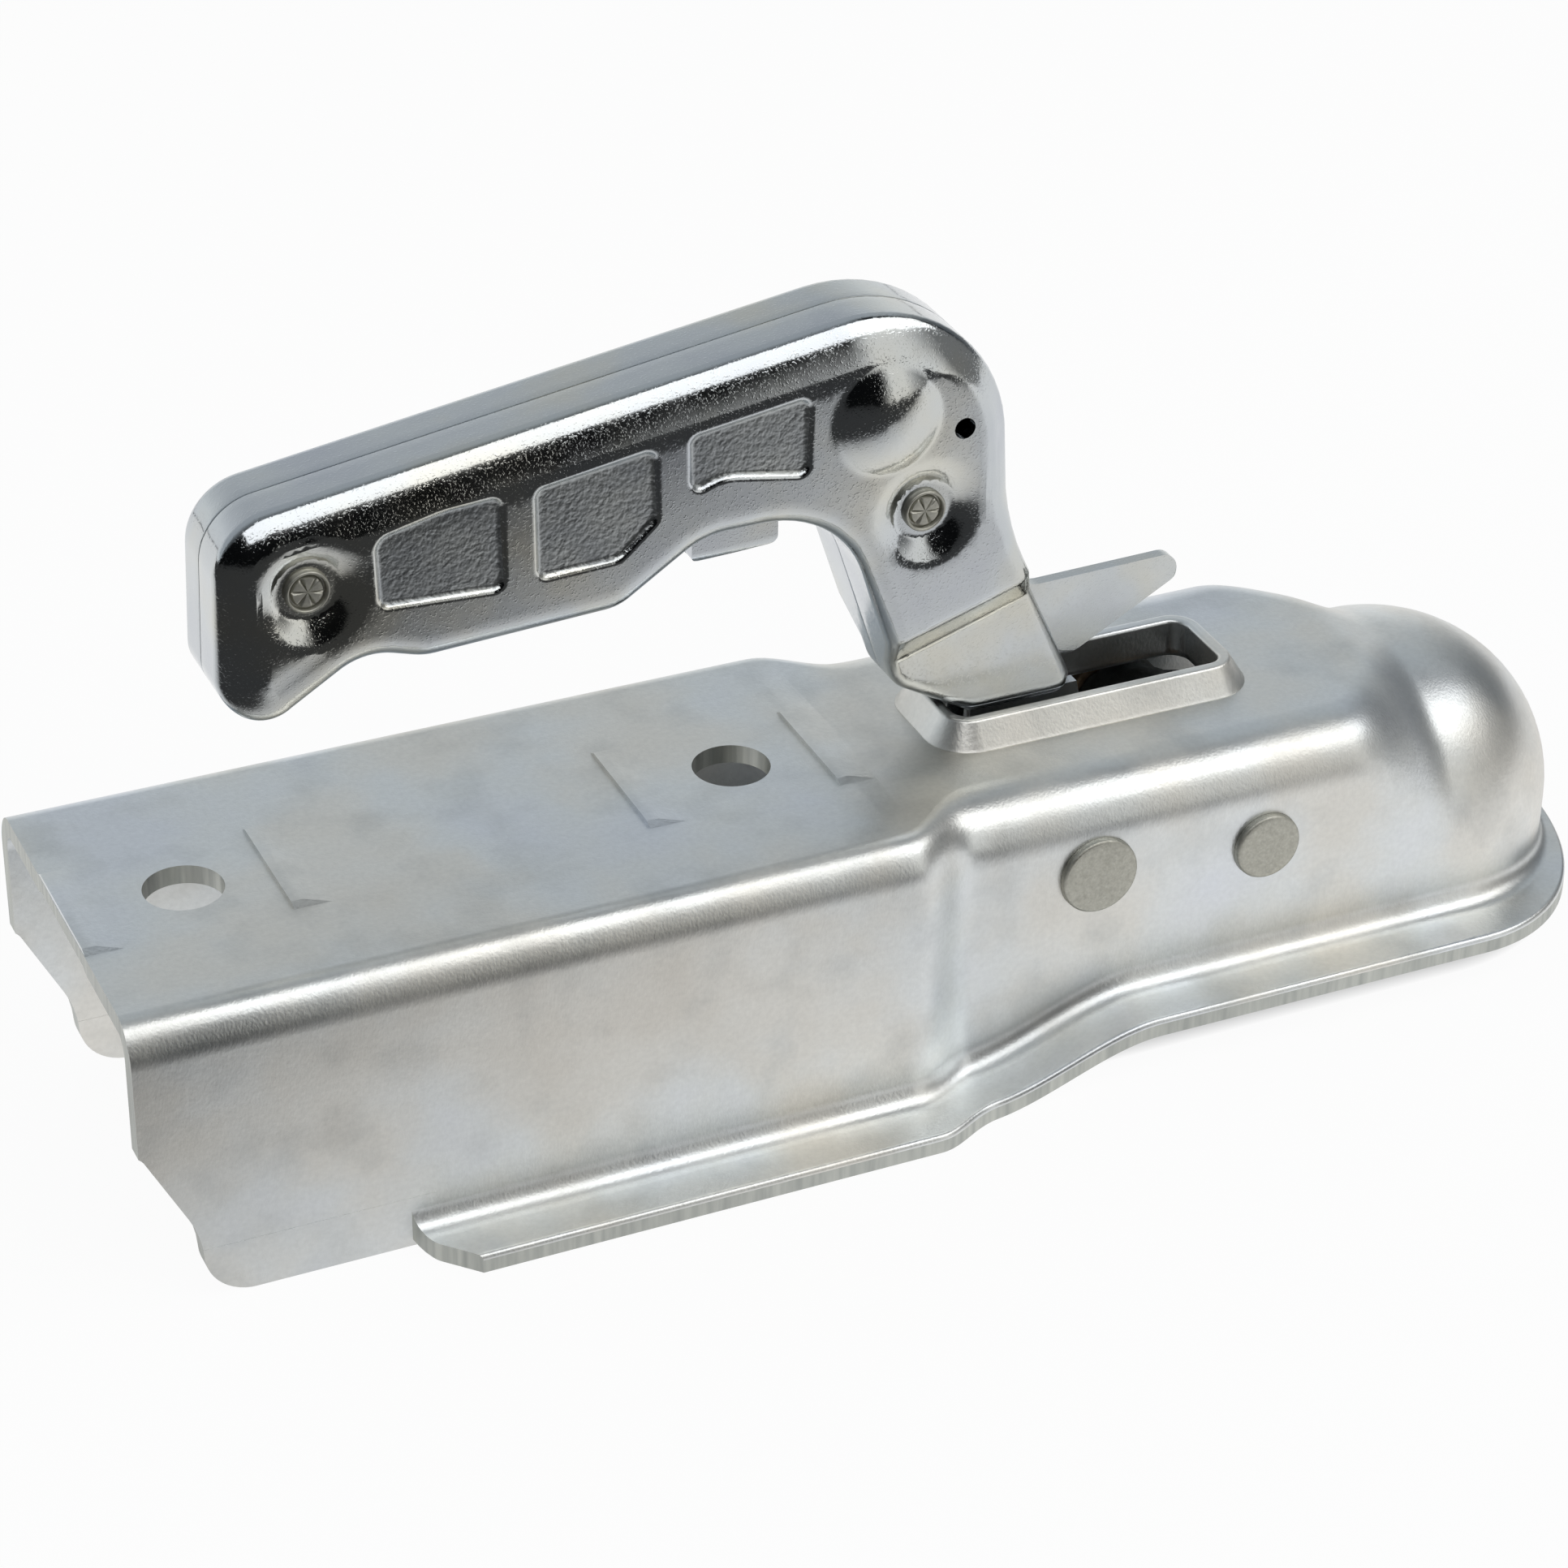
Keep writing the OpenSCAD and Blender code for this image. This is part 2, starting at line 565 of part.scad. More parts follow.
// Rivet with peened heads: a raised ring round a star of six rays
dish_floor = grip_half - dish_depth;
head_h = 1.3;
module star_head() {
    difference() {
        rotate_extrude() {
            square([rivet_head_d / 2 - 0.5, head_h]);
            square([rivet_head_d / 2, head_h - 0.5]);
            translate([rivet_head_d / 2 - 0.5, head_h - 0.5]) circle(r = 0.5, $fn = 32);
        }
        translate([0, 0, head_h - 0.35]) cylinder(r = rivet_d / 2, h = 1);
        for (i = [0:2]) rotate([0, 0, 60 * i])
            translate([-rivet_d / 2, -0.25, head_h - 0.75]) cube([rivet_d, 0.5, 1]);
    }
}
module lever_rivet(p) {
    translate(lever_at + [p[0], 0, p[1]]) {
        bar(rivet_d / 2, -dish_floor, dish_floor);
        for (s = [1, -1]) rotate([90 * s, 0, 0]) translate([0, 0, dish_floor]) star_head();
    }
}
module handle_rivet_rear() color(bare) lever_rivet(rivet_rear);
module handle_rivet_front() color(bare) lever_rivet(rivet_front);

// Sleeve that keeps the halves apart at the rear rivet
inside_half = dish_floor - lever_t;
seat_gap = 0.1;
module rear_rivet_sleeve() color(bare)
    translate(lever_at + [rivet_rear[0], 0, rivet_rear[1]])
        tube(rivet_d / 2 + fixed_gap, 5, seat_gap - inside_half, inside_half - seat_gap);

// Washers that keep the catch in the middle of the front rivet
module catch_washer() {
    translate(lever_at + [rivet_front[0], 0, rivet_front[1]])
        tube(rivet_d / 2 + fixed_gap, 4.9, catch_t / 2 + seat_gap, inside_half - seat_gap);
}
module catch_washer_left() color(bare) catch_washer();
module catch_washer_right() color(bare) mirror([0, 1, 0]) catch_washer();

// Squeeze catch: one plate from the folded trigger, round the rivet, to the blocking nose
catch_outline = [
    [-59.4, 75, 3], [-59.2, 55.3, 1.5], [-44.5, 56.4, 1.5], [-44.2, 68, 0.5], [-41, 68, 3],
    [-33.5, 61.5, 3], [-28, 52.5, 6], [8, 22.5, 4], [27.3, 33.2, 2], [27.9, 37.7, 2.8],
    [1, 37.2, 6], [-7, 41.5, 4], [-11.8, 52, 8], [-14.5, 65.5, 7], [-26, 68.5, 8], [-40, 75, 8]];
module safety_catch() color(bright) translate(lever_at) {
    difference() {
        plate(outline(catch_outline), -catch_t / 2, catch_t / 2);
        translate([rivet_front[0], 0, rivet_front[1]])
            bar(rivet_d / 2 + run_gap, -catch_t, catch_t);
    }
    trigger_fold();
}

// Trigger: the plate's lower end folded across and up again, a hair proud of the plate's edge
module trigger_fold() {
    y0 = -trigger_w / 2;
    y1 = catch_t / 2 - 0.6;
    r = catch_t + 0.4;
    foot_z = 55.1;
    floor_z = foot_z + catch_t + 0.8;
    intersection() {
        plate(outline([[-59, 67, 1], [-59, foot_z, 1.5], [-44.7, foot_z + 1.1, 1.5], [-44.7, 67, 1]]),
            y0 - 1, y1);
        translate([-61, 0, 0]) rotate([90, 0, 90]) linear_extrude(20) difference() {
            polygon(outline([[y0, foot_z - 0.4, r], [y1 + 1, foot_z - 0.4, 0], [y1 + 1, 66.5, 0],
                [y0, 66.5, 0.6]], 0, 18));
            polygon(outline([[y0 + catch_t, floor_z, 0.5], [y1 + 2, floor_z, 0],
                [y1 + 2, 75, 0], [y0 + catch_t, 75, 0]], 0, 30));
        }
    }
}

// Locking cam between the lugs: hub on the pivot pin and a finger that holds the jaw shut
cam_tip_r = 5;
module locking_cam() color(cast) translate(lever_at) {
    half = lug_half - lever_t - seat_gap;
    tip = cam_reach * [cos(cam_turn), sin(cam_turn)];
    difference() {
        union() {
            bar(lug_r - 0.5, -half, half);
            plate(outline([[-4, -11.5, 0], [tip[0] - 4, tip[1] - 4.6, 2], [tip[0] + 3, tip[1] - 3, 3],
                [tip[0] + 2.4, tip[1] + 4.4, 3], [11.4, 3, 0], [0, 0, 0]]), -half, half);
            translate([tip[0], 0, tip[1]]) bar(cam_tip_r, -half, half);
        }
        bar(lever_pin_d / 2 + run_gap, -half - 1, half + 1);
        translate([cam_rivet_at[0], 0, cam_rivet_at[1]]) bar(2 + fixed_gap, -half - 1, half + 1);
    }
}

// Rivet that stops the cam turning between the lugs
module cam_rivet() color(bare) translate(lever_at + [cam_rivet_at[0], 0, cam_rivet_at[1]]) {
    bar(2, -lug_half, lug_half);
    for (s = [1, -1]) rotate([90 * s, 0, 0]) translate([0, 0, lug_half])
        cylinder(r1 = 3.4, r2 = 2.6, h = 1.2);
}

// Cast jaw: two ears on the jaw pin, a heel for the cam and a pad that follows the ball
jaw_half = 15;
ear_half = 8.3;
ear_r = 9;
pad_r = ball_d / 2 + pad_gap;
jaw_foot_z = rear_foot + 1.3;
jaw_face = 14;
heel_reach = 5.5;
heel_drop = 16;
jaw_rise = 8.6;
heel_x = -jaw_pin_x - heel_reach;
jaw_points = outline([
    [heel_x - 2.8, jaw_pin_z - 1, 6], [heel_x, jaw_pin_z - heel_drop, 5],
    [heel_x, jaw_pin_z - heel_drop - 7, 4], [heel_x + 10.4, jaw_foot_z, 6], [-jaw_face, jaw_foot_z, 0],
    [-jaw_face, jaw_pin_z - 6, 0], [-jaw_face - 10, jaw_pin_z + 5.5, 2],
    [-jaw_pin_x, jaw_pin_z + jaw_rise, 6]]);
module ball_jaw() color(cast) difference() {
    union() {
        intersection() {
            plate(jaw_points, -jaw_half, jaw_half);
            translate([0, 0, -40]) linear_extrude(80)
                polygon(outline([[-50, -jaw_half, 2], [-12, -jaw_half, 5], [-12, jaw_half, 5],
                    [-50, jaw_half, 2]], 0, 18));
        }
        translate(jaw_at) bar(ear_r, -jaw_half, jaw_half);
    }
    sphere(r = pad_r, $fn = 96);
    translate(jaw_at) bar(jaw_pin_d / 2 + run_gap, -jaw_half - 1, jaw_half + 1);
    translate([-70, -ear_half, jaw_pin_z - 11.5]) cube([80, 2 * ear_half, 30]);
}

// Wire swept along points that each carry their own radial direction, in the XZ plane
wire_sides = 8;
module swept_wire(path, r) {
    n = wire_sides;
    m = len(path);
    points = [for (p = path) each [for (k = [0:n - 1]) let (a = 360 * k / n)
        p[0] + r * (cos(a) * p[1] + sin(a) * [0, 1, 0])]];
    walls = [for (j = [0:m - 2], k = [0:n - 1])
        let (a = j * n + k, b = j * n + (k + 1) % n) each [[a, b, b + n], [a, b + n, a + n]]];
    polyhedron(points, concat(walls, [[for (k = [n - 1:-1:0]) k]],
        [[for (k = [0:n - 1]) (m - 1) * n + k]]), convexity = 10);
}

// Torsion spring about Y: turns of radius r from angle a0 over sweep, with a straight leg at each
// end along the coil's tangent
function coil_path(r, y0, y1, a0, sweep, leg0, leg1, steps) =
    let (rad = function (a) [cos(a), 0, sin(a)])
    let (tan = function (a) [-sin(a), 0, cos(a)])
    concat(
        [[r * rad(a0) + [0, y0, 0] - leg0 * tan(a0), rad(a0)]],
        [for (i = [0:steps]) let (a = a0 + sweep * i / steps, y = y0 + (y1 - y0) * i / steps)
            [r * rad(a) + [0, y, 0], rad(a)]],
        [[r * rad(a0 + sweep) + [0, y1, 0] + leg1 * tan(a0 + sweep), rad(a0 + sweep)]]);

jaw_leg = 17;
jaw_tail = 9;
jaw_coil_half = 6.2;
jaw_coil_r = jaw_pin_d / 2 + 1.2 + jaw_wire / 2;
module jaw_spring() color(wire_tone) translate(jaw_at)
    swept_wire(coil_path(jaw_coil_r, -jaw_coil_half, jaw_coil_half, 90, 4 * 360 + 90, jaw_leg, jaw_tail, 90),
        jaw_wire / 2);

sleeve_r = 8;
lever_leg = 9;
lever_tail = 18;
lever_coil_end = 18;
lever_coil_r = sleeve_r + 0.3 + lever_wire / 2;
module lever_spring() color(wire_tone) translate(lever_at)
    swept_wire(coil_path(lever_coil_r, lug_half + 0.3 + lever_wire / 2, lever_coil_end, 0,
        -(3 * 360 + 270), lever_leg, lever_tail, 80), lever_wire / 2);

catch_leg = 9;
catch_tail = 7;
catch_coil_end = 5.6;
catch_coil_r = 4.9 + 0.3 + catch_wire / 2;
module catch_spring() color(wire_tone) translate(lever_at + [rivet_front[0], 0, rivet_front[1]])
    swept_wire(coil_path(catch_coil_r, catch_t / 2 + 0.3 + catch_wire / 2, catch_coil_end, 90,
        3 * 360 + 20, catch_leg, catch_tail, 60), catch_wire / 2);

// Plain sleeves that centre the lever and the jaw between the walls
// (each stops short of the wall by what the inside bend takes at the height of its top)
inner_half_w = nose_half - sheet_t;
inner_bend = front_bend - sheet_t;
function into_bend(rise) = inner_bend - sqrt(max(0, pow(inner_bend, 2) - pow(max(0, rise), 2)));
lever_sleeve_end = inner_half_w - wall_gap - into_bend(sleeve_r + front_bend - lever_pin_drop);
jaw_sleeve_end = inner_half_w - wall_gap - into_bend(ear_r - 1 + front_bend - jaw_pin_drop);
module lever_sleeve() translate(lever_at)
    tube(lever_pin_d / 2 + run_gap, sleeve_r, lug_half + wall_gap, lever_sleeve_end);
module lever_sleeve_left() color(bare) lever_sleeve();
module lever_sleeve_right() color(bare) mirror([0, 1, 0]) lever_sleeve();
module jaw_sleeve() translate(jaw_at)
    tube(jaw_pin_d / 2 + run_gap, ear_r - 1, jaw_half + wall_gap, jaw_sleeve_end);
module jaw_sleeve_left() color(bare) jaw_sleeve();
module jaw_sleeve_right() color(bare) mirror([0, 1, 0]) jaw_sleeve();

housing();
lever_pin();
jaw_pin();
handle_half_right();
handle_half_left();
handle_rivet_rear();
handle_rivet_front();
rear_rivet_sleeve();
catch_washer_right();
catch_washer_left();
safety_catch();
catch_spring();
locking_cam();
cam_rivet();
ball_jaw();
jaw_spring();
lever_spring();
lever_sleeve_right();
lever_sleeve_left();
jaw_sleeve_right();
jaw_sleeve_left();
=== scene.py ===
"""Looks of a pressed steel coupling head: fine sheet skins, plated finishes and a plain studio."""
import math
from types import SimpleNamespace

import bmesh
import bpy
import numpy as np
from mathutils import Matrix, Vector
from mathutils.geometry import delaunay_2d_cdt


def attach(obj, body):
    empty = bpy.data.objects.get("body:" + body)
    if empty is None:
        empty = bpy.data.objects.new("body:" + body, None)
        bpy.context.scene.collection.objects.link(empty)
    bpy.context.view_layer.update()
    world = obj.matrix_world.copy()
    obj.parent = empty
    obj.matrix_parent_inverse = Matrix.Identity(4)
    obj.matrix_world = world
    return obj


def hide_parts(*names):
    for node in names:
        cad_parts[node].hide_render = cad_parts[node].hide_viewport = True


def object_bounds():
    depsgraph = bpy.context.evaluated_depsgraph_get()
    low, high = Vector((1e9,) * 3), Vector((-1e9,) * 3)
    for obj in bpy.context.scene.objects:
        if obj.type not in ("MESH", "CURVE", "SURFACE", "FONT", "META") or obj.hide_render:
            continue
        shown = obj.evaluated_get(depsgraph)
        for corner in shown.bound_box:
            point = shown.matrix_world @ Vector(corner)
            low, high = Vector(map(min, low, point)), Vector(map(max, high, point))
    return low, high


bl_info = {
    "name": "Coupling Head Looks",
    "version": (1, 0, 0),
    "blender": (4, 5, 0),
    "location": "View3D > Sidebar > Coupling",
    "description": "Fine skins, plated finishes and a plain studio for a pressed coupling head",
    "category": "Object",
}

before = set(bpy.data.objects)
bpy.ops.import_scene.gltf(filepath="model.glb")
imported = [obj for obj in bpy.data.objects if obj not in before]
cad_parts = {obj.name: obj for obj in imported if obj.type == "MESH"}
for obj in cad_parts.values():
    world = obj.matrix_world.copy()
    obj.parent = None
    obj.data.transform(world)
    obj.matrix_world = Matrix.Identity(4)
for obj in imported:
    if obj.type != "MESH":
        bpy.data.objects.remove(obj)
cad_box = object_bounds()

MM = 0.001
SHARP = math.radians(32)
HALF_ROOT = math.sqrt(0.5)

# Places that several pieces share, in millimetres: (x, z) of the lever's and the jaw's pins,
# x of the channel's open end and of the two drawbar bolts
PIVOT = (-68.5, 16.1)
JAW_AT = (-37.9, 14.0)
REAR_END = -228.0
BOLTS_X = (-119, -209)


# Colours

def linear(code):
    """sRGB hex text to a linear colour with full alpha."""
    parts = [int(code[i:i + 2], 16) / 255 for i in (1, 3, 5)]
    return tuple(c / 12.92 if c <= 0.04045 else ((c + 0.055) / 1.055) ** 2.4 for c in parts) + (1.0,)


# Nodes

def add_node(tree, kind, inputs=None, **settings):
    """Add a node with its settings; an input is a value, or another node's output to link."""
    node = tree.nodes.new(kind)
    for key, value in settings.items():
        setattr(node, key, value)
    for key, value in (inputs or {}).items():
        if isinstance(value, bpy.types.NodeSocket):
            tree.links.new(value, node.inputs[key])
        else:
            node.inputs[key].default_value = value
    return node


def new_material(name):
    """A material with an empty tree, its output and its shader."""
    material = bpy.data.materials.new(name)
    material.use_nodes = True
    tree = material.node_tree
    tree.nodes.clear()
    shader = add_node(tree, "ShaderNodeBsdfPrincipled")
    add_node(tree, "ShaderNodeOutputMaterial", {"Surface": shader.outputs[0]})
    return material, tree, shader


def set_metal(tree, shader, tint, roughness, normal):
    """Fill in a metal's shader from its tint, roughness and bump."""
    shader.inputs["Metallic"].default_value = 1.0
    tree.links.new(tint, shader.inputs["Base Color"])
    tree.links.new(roughness, shader.inputs["Roughness"])
    tree.links.new(normal, shader.inputs["Normal"])


def millimetres(tree, stretch=(1, 1, 1)):
    """Object coordinates in millimetres, with a stretch for streaks."""
    place = add_node(tree, "ShaderNodeTexCoord")
    return add_node(tree, "ShaderNodeMapping", {
        "Vector": place.outputs["Object"], "Scale": tuple(1000 * s for s in stretch)}).outputs[0]


def noise(tree, size, detail=3.0, stretch=(1, 1, 1), rough=0.5):
    """Noise whose patches are about size millimetres across."""
    return add_node(tree, "ShaderNodeTexNoise", {
        "Vector": millimetres(tree, stretch), "Scale": 1.0 / size, "Detail": detail,
        "Roughness": rough}).outputs["Fac"]


def ramp(tree, factor, stops):
    """Colour ramp from a list of (position, colour)."""
    node = add_node(tree, "ShaderNodeValToRGB", {"Fac": factor})
    elements = node.color_ramp.elements
    while len(elements) < len(stops):
        elements.new(0.5)
    for element, (place, colour) in zip(elements, stops):
        element.position = place
        element.color = colour
    return node.outputs["Color"]


def mixed(tree, factor, a, b, blend="MIX"):
    """Two colours mixed by a factor."""
    node = add_node(tree, "ShaderNodeMix", data_type="RGBA", blend_type=blend)
    for index, value in ((0, factor), (6, a), (7, b)):
        if isinstance(value, bpy.types.NodeSocket):
            tree.links.new(value, node.inputs[index])
        else:
            node.inputs[index].default_value = value
    return node.outputs[2]


def spread(tree, factor, low, high, start=0.3, end=0.7):
    """A factor spread from start..end onto low..high."""
    return add_node(tree, "ShaderNodeMapRange", {
        "Value": factor, "From Min": start, "From Max": end, "To Min": low, "To Max": high}).outputs[0]


def bumped(tree, height, distance, strength=1.0, normal=None):
    """A bump of the given height in millimetres."""
    inputs = {"Height": height, "Distance": distance * MM, "Strength": strength}
    if normal is not None:
        inputs["Normal"] = normal
    return add_node(tree, "ShaderNodeBump", inputs).outputs[0]


# Finishes

def zinc_shell():
    """Zinc-plated drawn steel: satin sheen, cloudy passivation tints, fine rolled grain."""
    material, tree, shader = new_material("zinc_plated_pressing")
    look = bpy.context.scene.coupling_finish
    clouds = noise(tree, 34, 3.0)
    tint = ramp(tree, clouds, [
        (0.30, linear("#DCE0E5")), (0.44, tuple(look.zinc_cool)), (0.56, tuple(look.zinc_warm)),
        (0.70, linear("#E5E2DB"))])
    smudge = spread(tree, noise(tree, 11, 4.0), 0.0, 0.28, 0.5, 0.75)
    tint = mixed(tree, smudge, tint, linear("#A3A7A8"))
    fine = spread(tree, noise(tree, 0.9, 2.0), 0.93, 1.0)
    tint = mixed(tree, 1.0, tint, add_node(tree, "ShaderNodeCombineColor", {
        "Red": fine, "Green": fine, "Blue": fine}).outputs[0], "MULTIPLY")
    sheen = spread(tree, noise(tree, 17, 4.0), 0.30, 0.43)
    grain = bumped(tree, noise(tree, 0.42, 2.0, (1, 1, 0.6)), 0.03)
    waves = bumped(tree, noise(tree, 4.5, 2.0), 0.03, normal=grain)
    set_metal(tree, shader, tint, sheen, waves)
    return material


def zinc_lever():
    """Zinc-plated thin sheet, drawn deep over a polished punch: brighter and glossier."""
    material, tree, shader = new_material("bright_zinc_sheet")
    look = bpy.context.scene.coupling_finish
    clouds = noise(tree, 22, 3.0)
    tint = ramp(tree, clouds, [
        (0.32, linear("#BCC0C6")), (0.5, tuple(look.lever_zinc)), (0.68, linear("#CBCAC2"))])
    # The grip is smooth, the arm was drawn less and keeps its grain
    place = add_node(tree, "ShaderNodeTexCoord")
    axes = add_node(tree, "ShaderNodeSeparateXYZ", {0: place.outputs["Object"]})
    duller = spread(tree, axes.outputs["X"], 0.0, 0.10, -0.088, -0.07)
    rough = add_node(tree, "ShaderNodeMath", {
        0: spread(tree, noise(tree, 9, 4.0), 0.07, 0.15), 1: duller}, operation="ADD")
    pits = spread(tree, noise(tree, 0.36, 2.0), 0.0, 1.0, 0.55, 0.76)
    grain = bumped(tree, pits, 0.013)
    waves = bumped(tree, noise(tree, 3.2, 2.0), 0.015, normal=grain)
    set_metal(tree, shader, tint, rough.outputs[0], waves)
    return material


def zinc_panel():
    """The same sheet where the punch was eroded: a pebbled floor that scatters the light."""
    material, tree, shader = new_material("pebbled_zinc_panel")
    tint = ramp(tree, noise(tree, 8, 3.0), [(0.3, linear("#A4A8AB")), (0.7, linear("#B9BCBB"))])
    set_metal(tree, shader, tint, spread(tree, noise(tree, 3, 3.0), 0.26, 0.36),
              bumped(tree, noise(tree, 0.75, 1.5), 0.10))
    return material


def sheared_edge():
    """Cut edge of plated sheet: duller, with upright score marks from the shear."""
    material, tree, shader = new_material("sheared_zinc_edge")
    tint = ramp(tree, noise(tree, 1.2, 3.0, (1, 1, 0.08)), [
        (0.3, linear("#A9ACA8")), (0.7, linear("#C4C6C0"))])
    tree.links.new(tint, shader.inputs["Base Color"])
    shader.inputs["Metallic"].default_value = 1.0
    shader.inputs["Roughness"].default_value = 0.42
    tree.links.new(bumped(tree, noise(tree, 0.7, 2.0, (1, 1, 0.06)), 0.04), shader.inputs["Normal"])
    return material


def bare_steel():
    """Bare turned bar: matt grey ends with a grainy, slightly scarred face."""
    material, tree, shader = new_material("bare_steel_bar")
    look = bpy.context.scene.coupling_finish
    tint = ramp(tree, noise(tree, 0.45, 4.0), [
        (0.3, linear("#B4B3AB")), (0.5, tuple(look.bare_steel)), (0.7, linear("#C3C2B9"))])
    set_metal(tree, shader, tint, spread(tree, noise(tree, 0.8, 3.0), 0.42, 0.58),
              bumped(tree, noise(tree, 0.3, 2.0), 0.02))
    return material


def cast_steel():
    """Plated casting: grey, rough-skinned, with a coarse sand grain."""
    material, tree, shader = new_material("cast_steel_jaw")
    tint = ramp(tree, noise(tree, 5, 4.0), [(0.3, linear("#6F7373")), (0.7, linear("#8C8F8E"))])
    set_metal(tree, shader, tint, spread(tree, noise(tree, 2, 3.0), 0.45, 0.6),
              bumped(tree, noise(tree, 0.9, 4.0), 0.12))
    return material


def spring_wire():
    """Oil-tempered spring wire: dark brown-grey with fine drawing lines."""
    material, tree, shader = new_material("oil_tempered_wire")
    look = bpy.context.scene.coupling_finish
    tint = ramp(tree, noise(tree, 3, 4.0), [(0.3, linear("#4B3A2C")), (0.7, tuple(look.spring_brown))])
    set_metal(tree, shader, tint, spread(tree, noise(tree, 1, 3.0), 0.32, 0.48),
              bumped(tree, noise(tree, 0.5, 2.0, (0.3, 1, 0.3)), 0.02))
    return material


FINISH = {}


def finish(name):
    """The finish of that name, made once."""
    makers = {
        "shell": zinc_shell, "lever": zinc_lever, "panel": zinc_panel, "edge": sheared_edge,
        "bare": bare_steel, "cast": cast_steel, "wire": spring_wire}
    if name not in FINISH:
        FINISH[name] = makers[name]()
    return FINISH[name]


# Meshes

def in_millimetres(group):
    """The sizes of a settings group as plain numbers in millimetres."""
    return SimpleNamespace(**{key: getattr(group, key) / MM for key in group.__annotations__})


def link(name, mesh):
    """An object at the origin for a mesh in millimetres."""
    thing = bpy.data.objects.new(name, mesh)
    bpy.context.scene.collection.objects.link(thing)
    return thing


def mesh_of(name, points, faces, finishes, slots=None):
    """A mesh from points in millimetres, with its finishes and each face's slot."""
    mesh = bpy.data.meshes.new(name)
    mesh.from_pydata([tuple(float(c) * MM for c in p) for p in points], [], [list(f) for f in faces])
    for key in finishes:
        mesh.materials.append(finish(key))
    if slots is not None:
        mesh.polygons.foreach_set("material_index", np.array(slots, np.int32))
    mesh.validate()
    mesh.update()
    return link(name, mesh)


def settle(thing):
    """Apply a piece's modifiers into its mesh."""
    evaluated = thing.evaluated_get(bpy.context.evaluated_depsgraph_get())
    mesh = bpy.data.meshes.new_from_object(evaluated)
    thing.modifiers.clear()
    old = thing.data
    thing.data = mesh
    bpy.data.meshes.remove(old)
    return thing


def merged(thing, distance=0.002):
    """Merge doubles, drop flat faces and point the faces outwards."""
    bm = bmesh.new()
    bm.from_mesh(thing.data)
    bmesh.ops.remove_doubles(bm, verts=bm.verts, dist=distance * MM)
    bmesh.ops.dissolve_degenerate(bm, edges=bm.edges, dist=distance * MM)
    bmesh.ops.recalc_face_normals(bm, faces=bm.faces)
    bm.to_mesh(thing.data)
    bm.free()
    return thing


def shaded(thing, angle=SHARP):
    """Smooth shading with sharp edges kept, weighted by face area."""
    thing.data.shade_smooth()
    thing.data.set_sharp_from_angle(angle=angle)
    weigh = thing.modifiers.new("weigh", "WEIGHTED_NORMAL")
    weigh.keep_sharp = True
    return settle(thing)


def eased(thing, width, segments=2, angle=40):
    """Round the sharp edges by a small width in millimetres."""
    bevel = thing.modifiers.new("ease", "BEVEL")
    bevel.width = width * MM
    bevel.segments = segments
    bevel.limit_method = "ANGLE"
    bevel.angle_limit = math.radians(angle)
    bevel.use_clamp_overlap = True
    bevel.miter_outer = "MITER_ARC"
    return settle(thing)


def combine(thing, tools, operation):
    """Cut tools from a piece or add them to it, and remove the tools."""
    for tool in tools:
        change = thing.modifiers.new("change", "BOOLEAN")
        change.operation = operation
        change.solver = "EXACT"
        change.material_mode = "TRANSFER"
        change.object = tool
    settle(thing)
    for tool in tools:
        bpy.data.objects.remove(tool)
    return thing


def trimmed(thing, planes):
    """Cut away what lies beyond each plane of (point, normal), and close the cuts."""
    bm = bmesh.new()
    bm.from_mesh(thing.data)
    for point, normal in planes:
        cut = bmesh.ops.bisect_plane(
            bm, geom=bm.verts[:] + bm.edges[:] + bm.faces[:], plane_co=point, plane_no=normal,
            clear_outer=True)
        rim = [e for e in cut["geom_cut"] if isinstance(e, bmesh.types.BMEdge)]
        bmesh.ops.holes_fill(bm, edges=rim)
    bm.to_mesh(thing.data)
    bm.free()
    return thing


def cad_copy(node, name, finish_name):
    """A merged copy of a CAD node that stands for it."""
    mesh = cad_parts[node].data.copy()
    mesh.materials.clear()
    mesh.materials.append(finish(finish_name))
    return merged(link(name, mesh))


def prism(name, points, low, high, across="z", finish_name="edge"):
    """A prism over an outline in millimetres, upright or across the part."""
    n = len(points)
    if across == "z":
        ends = [[(p[0], p[1], h) for p in points] for h in (low, high)]
    else:
        ends = [[(p[0], h, p[1]) for p in points] for h in (low, high)]
    faces = [[i, (i + 1) % n, n + (i + 1) % n, n + i] for i in range(n)]
    faces += [list(range(n - 1, -1, -1)), list(range(n, 2 * n))]
    return merged(mesh_of(name, ends[0] + ends[1], faces, [finish_name]))


def disc(radius, centre=(0, 0), steps=64):
    """Points round a circle."""
    return [(centre[0] + radius * math.cos(2 * math.pi * i / steps),
             centre[1] + radius * math.sin(2 * math.pi * i / steps)) for i in range(steps)]


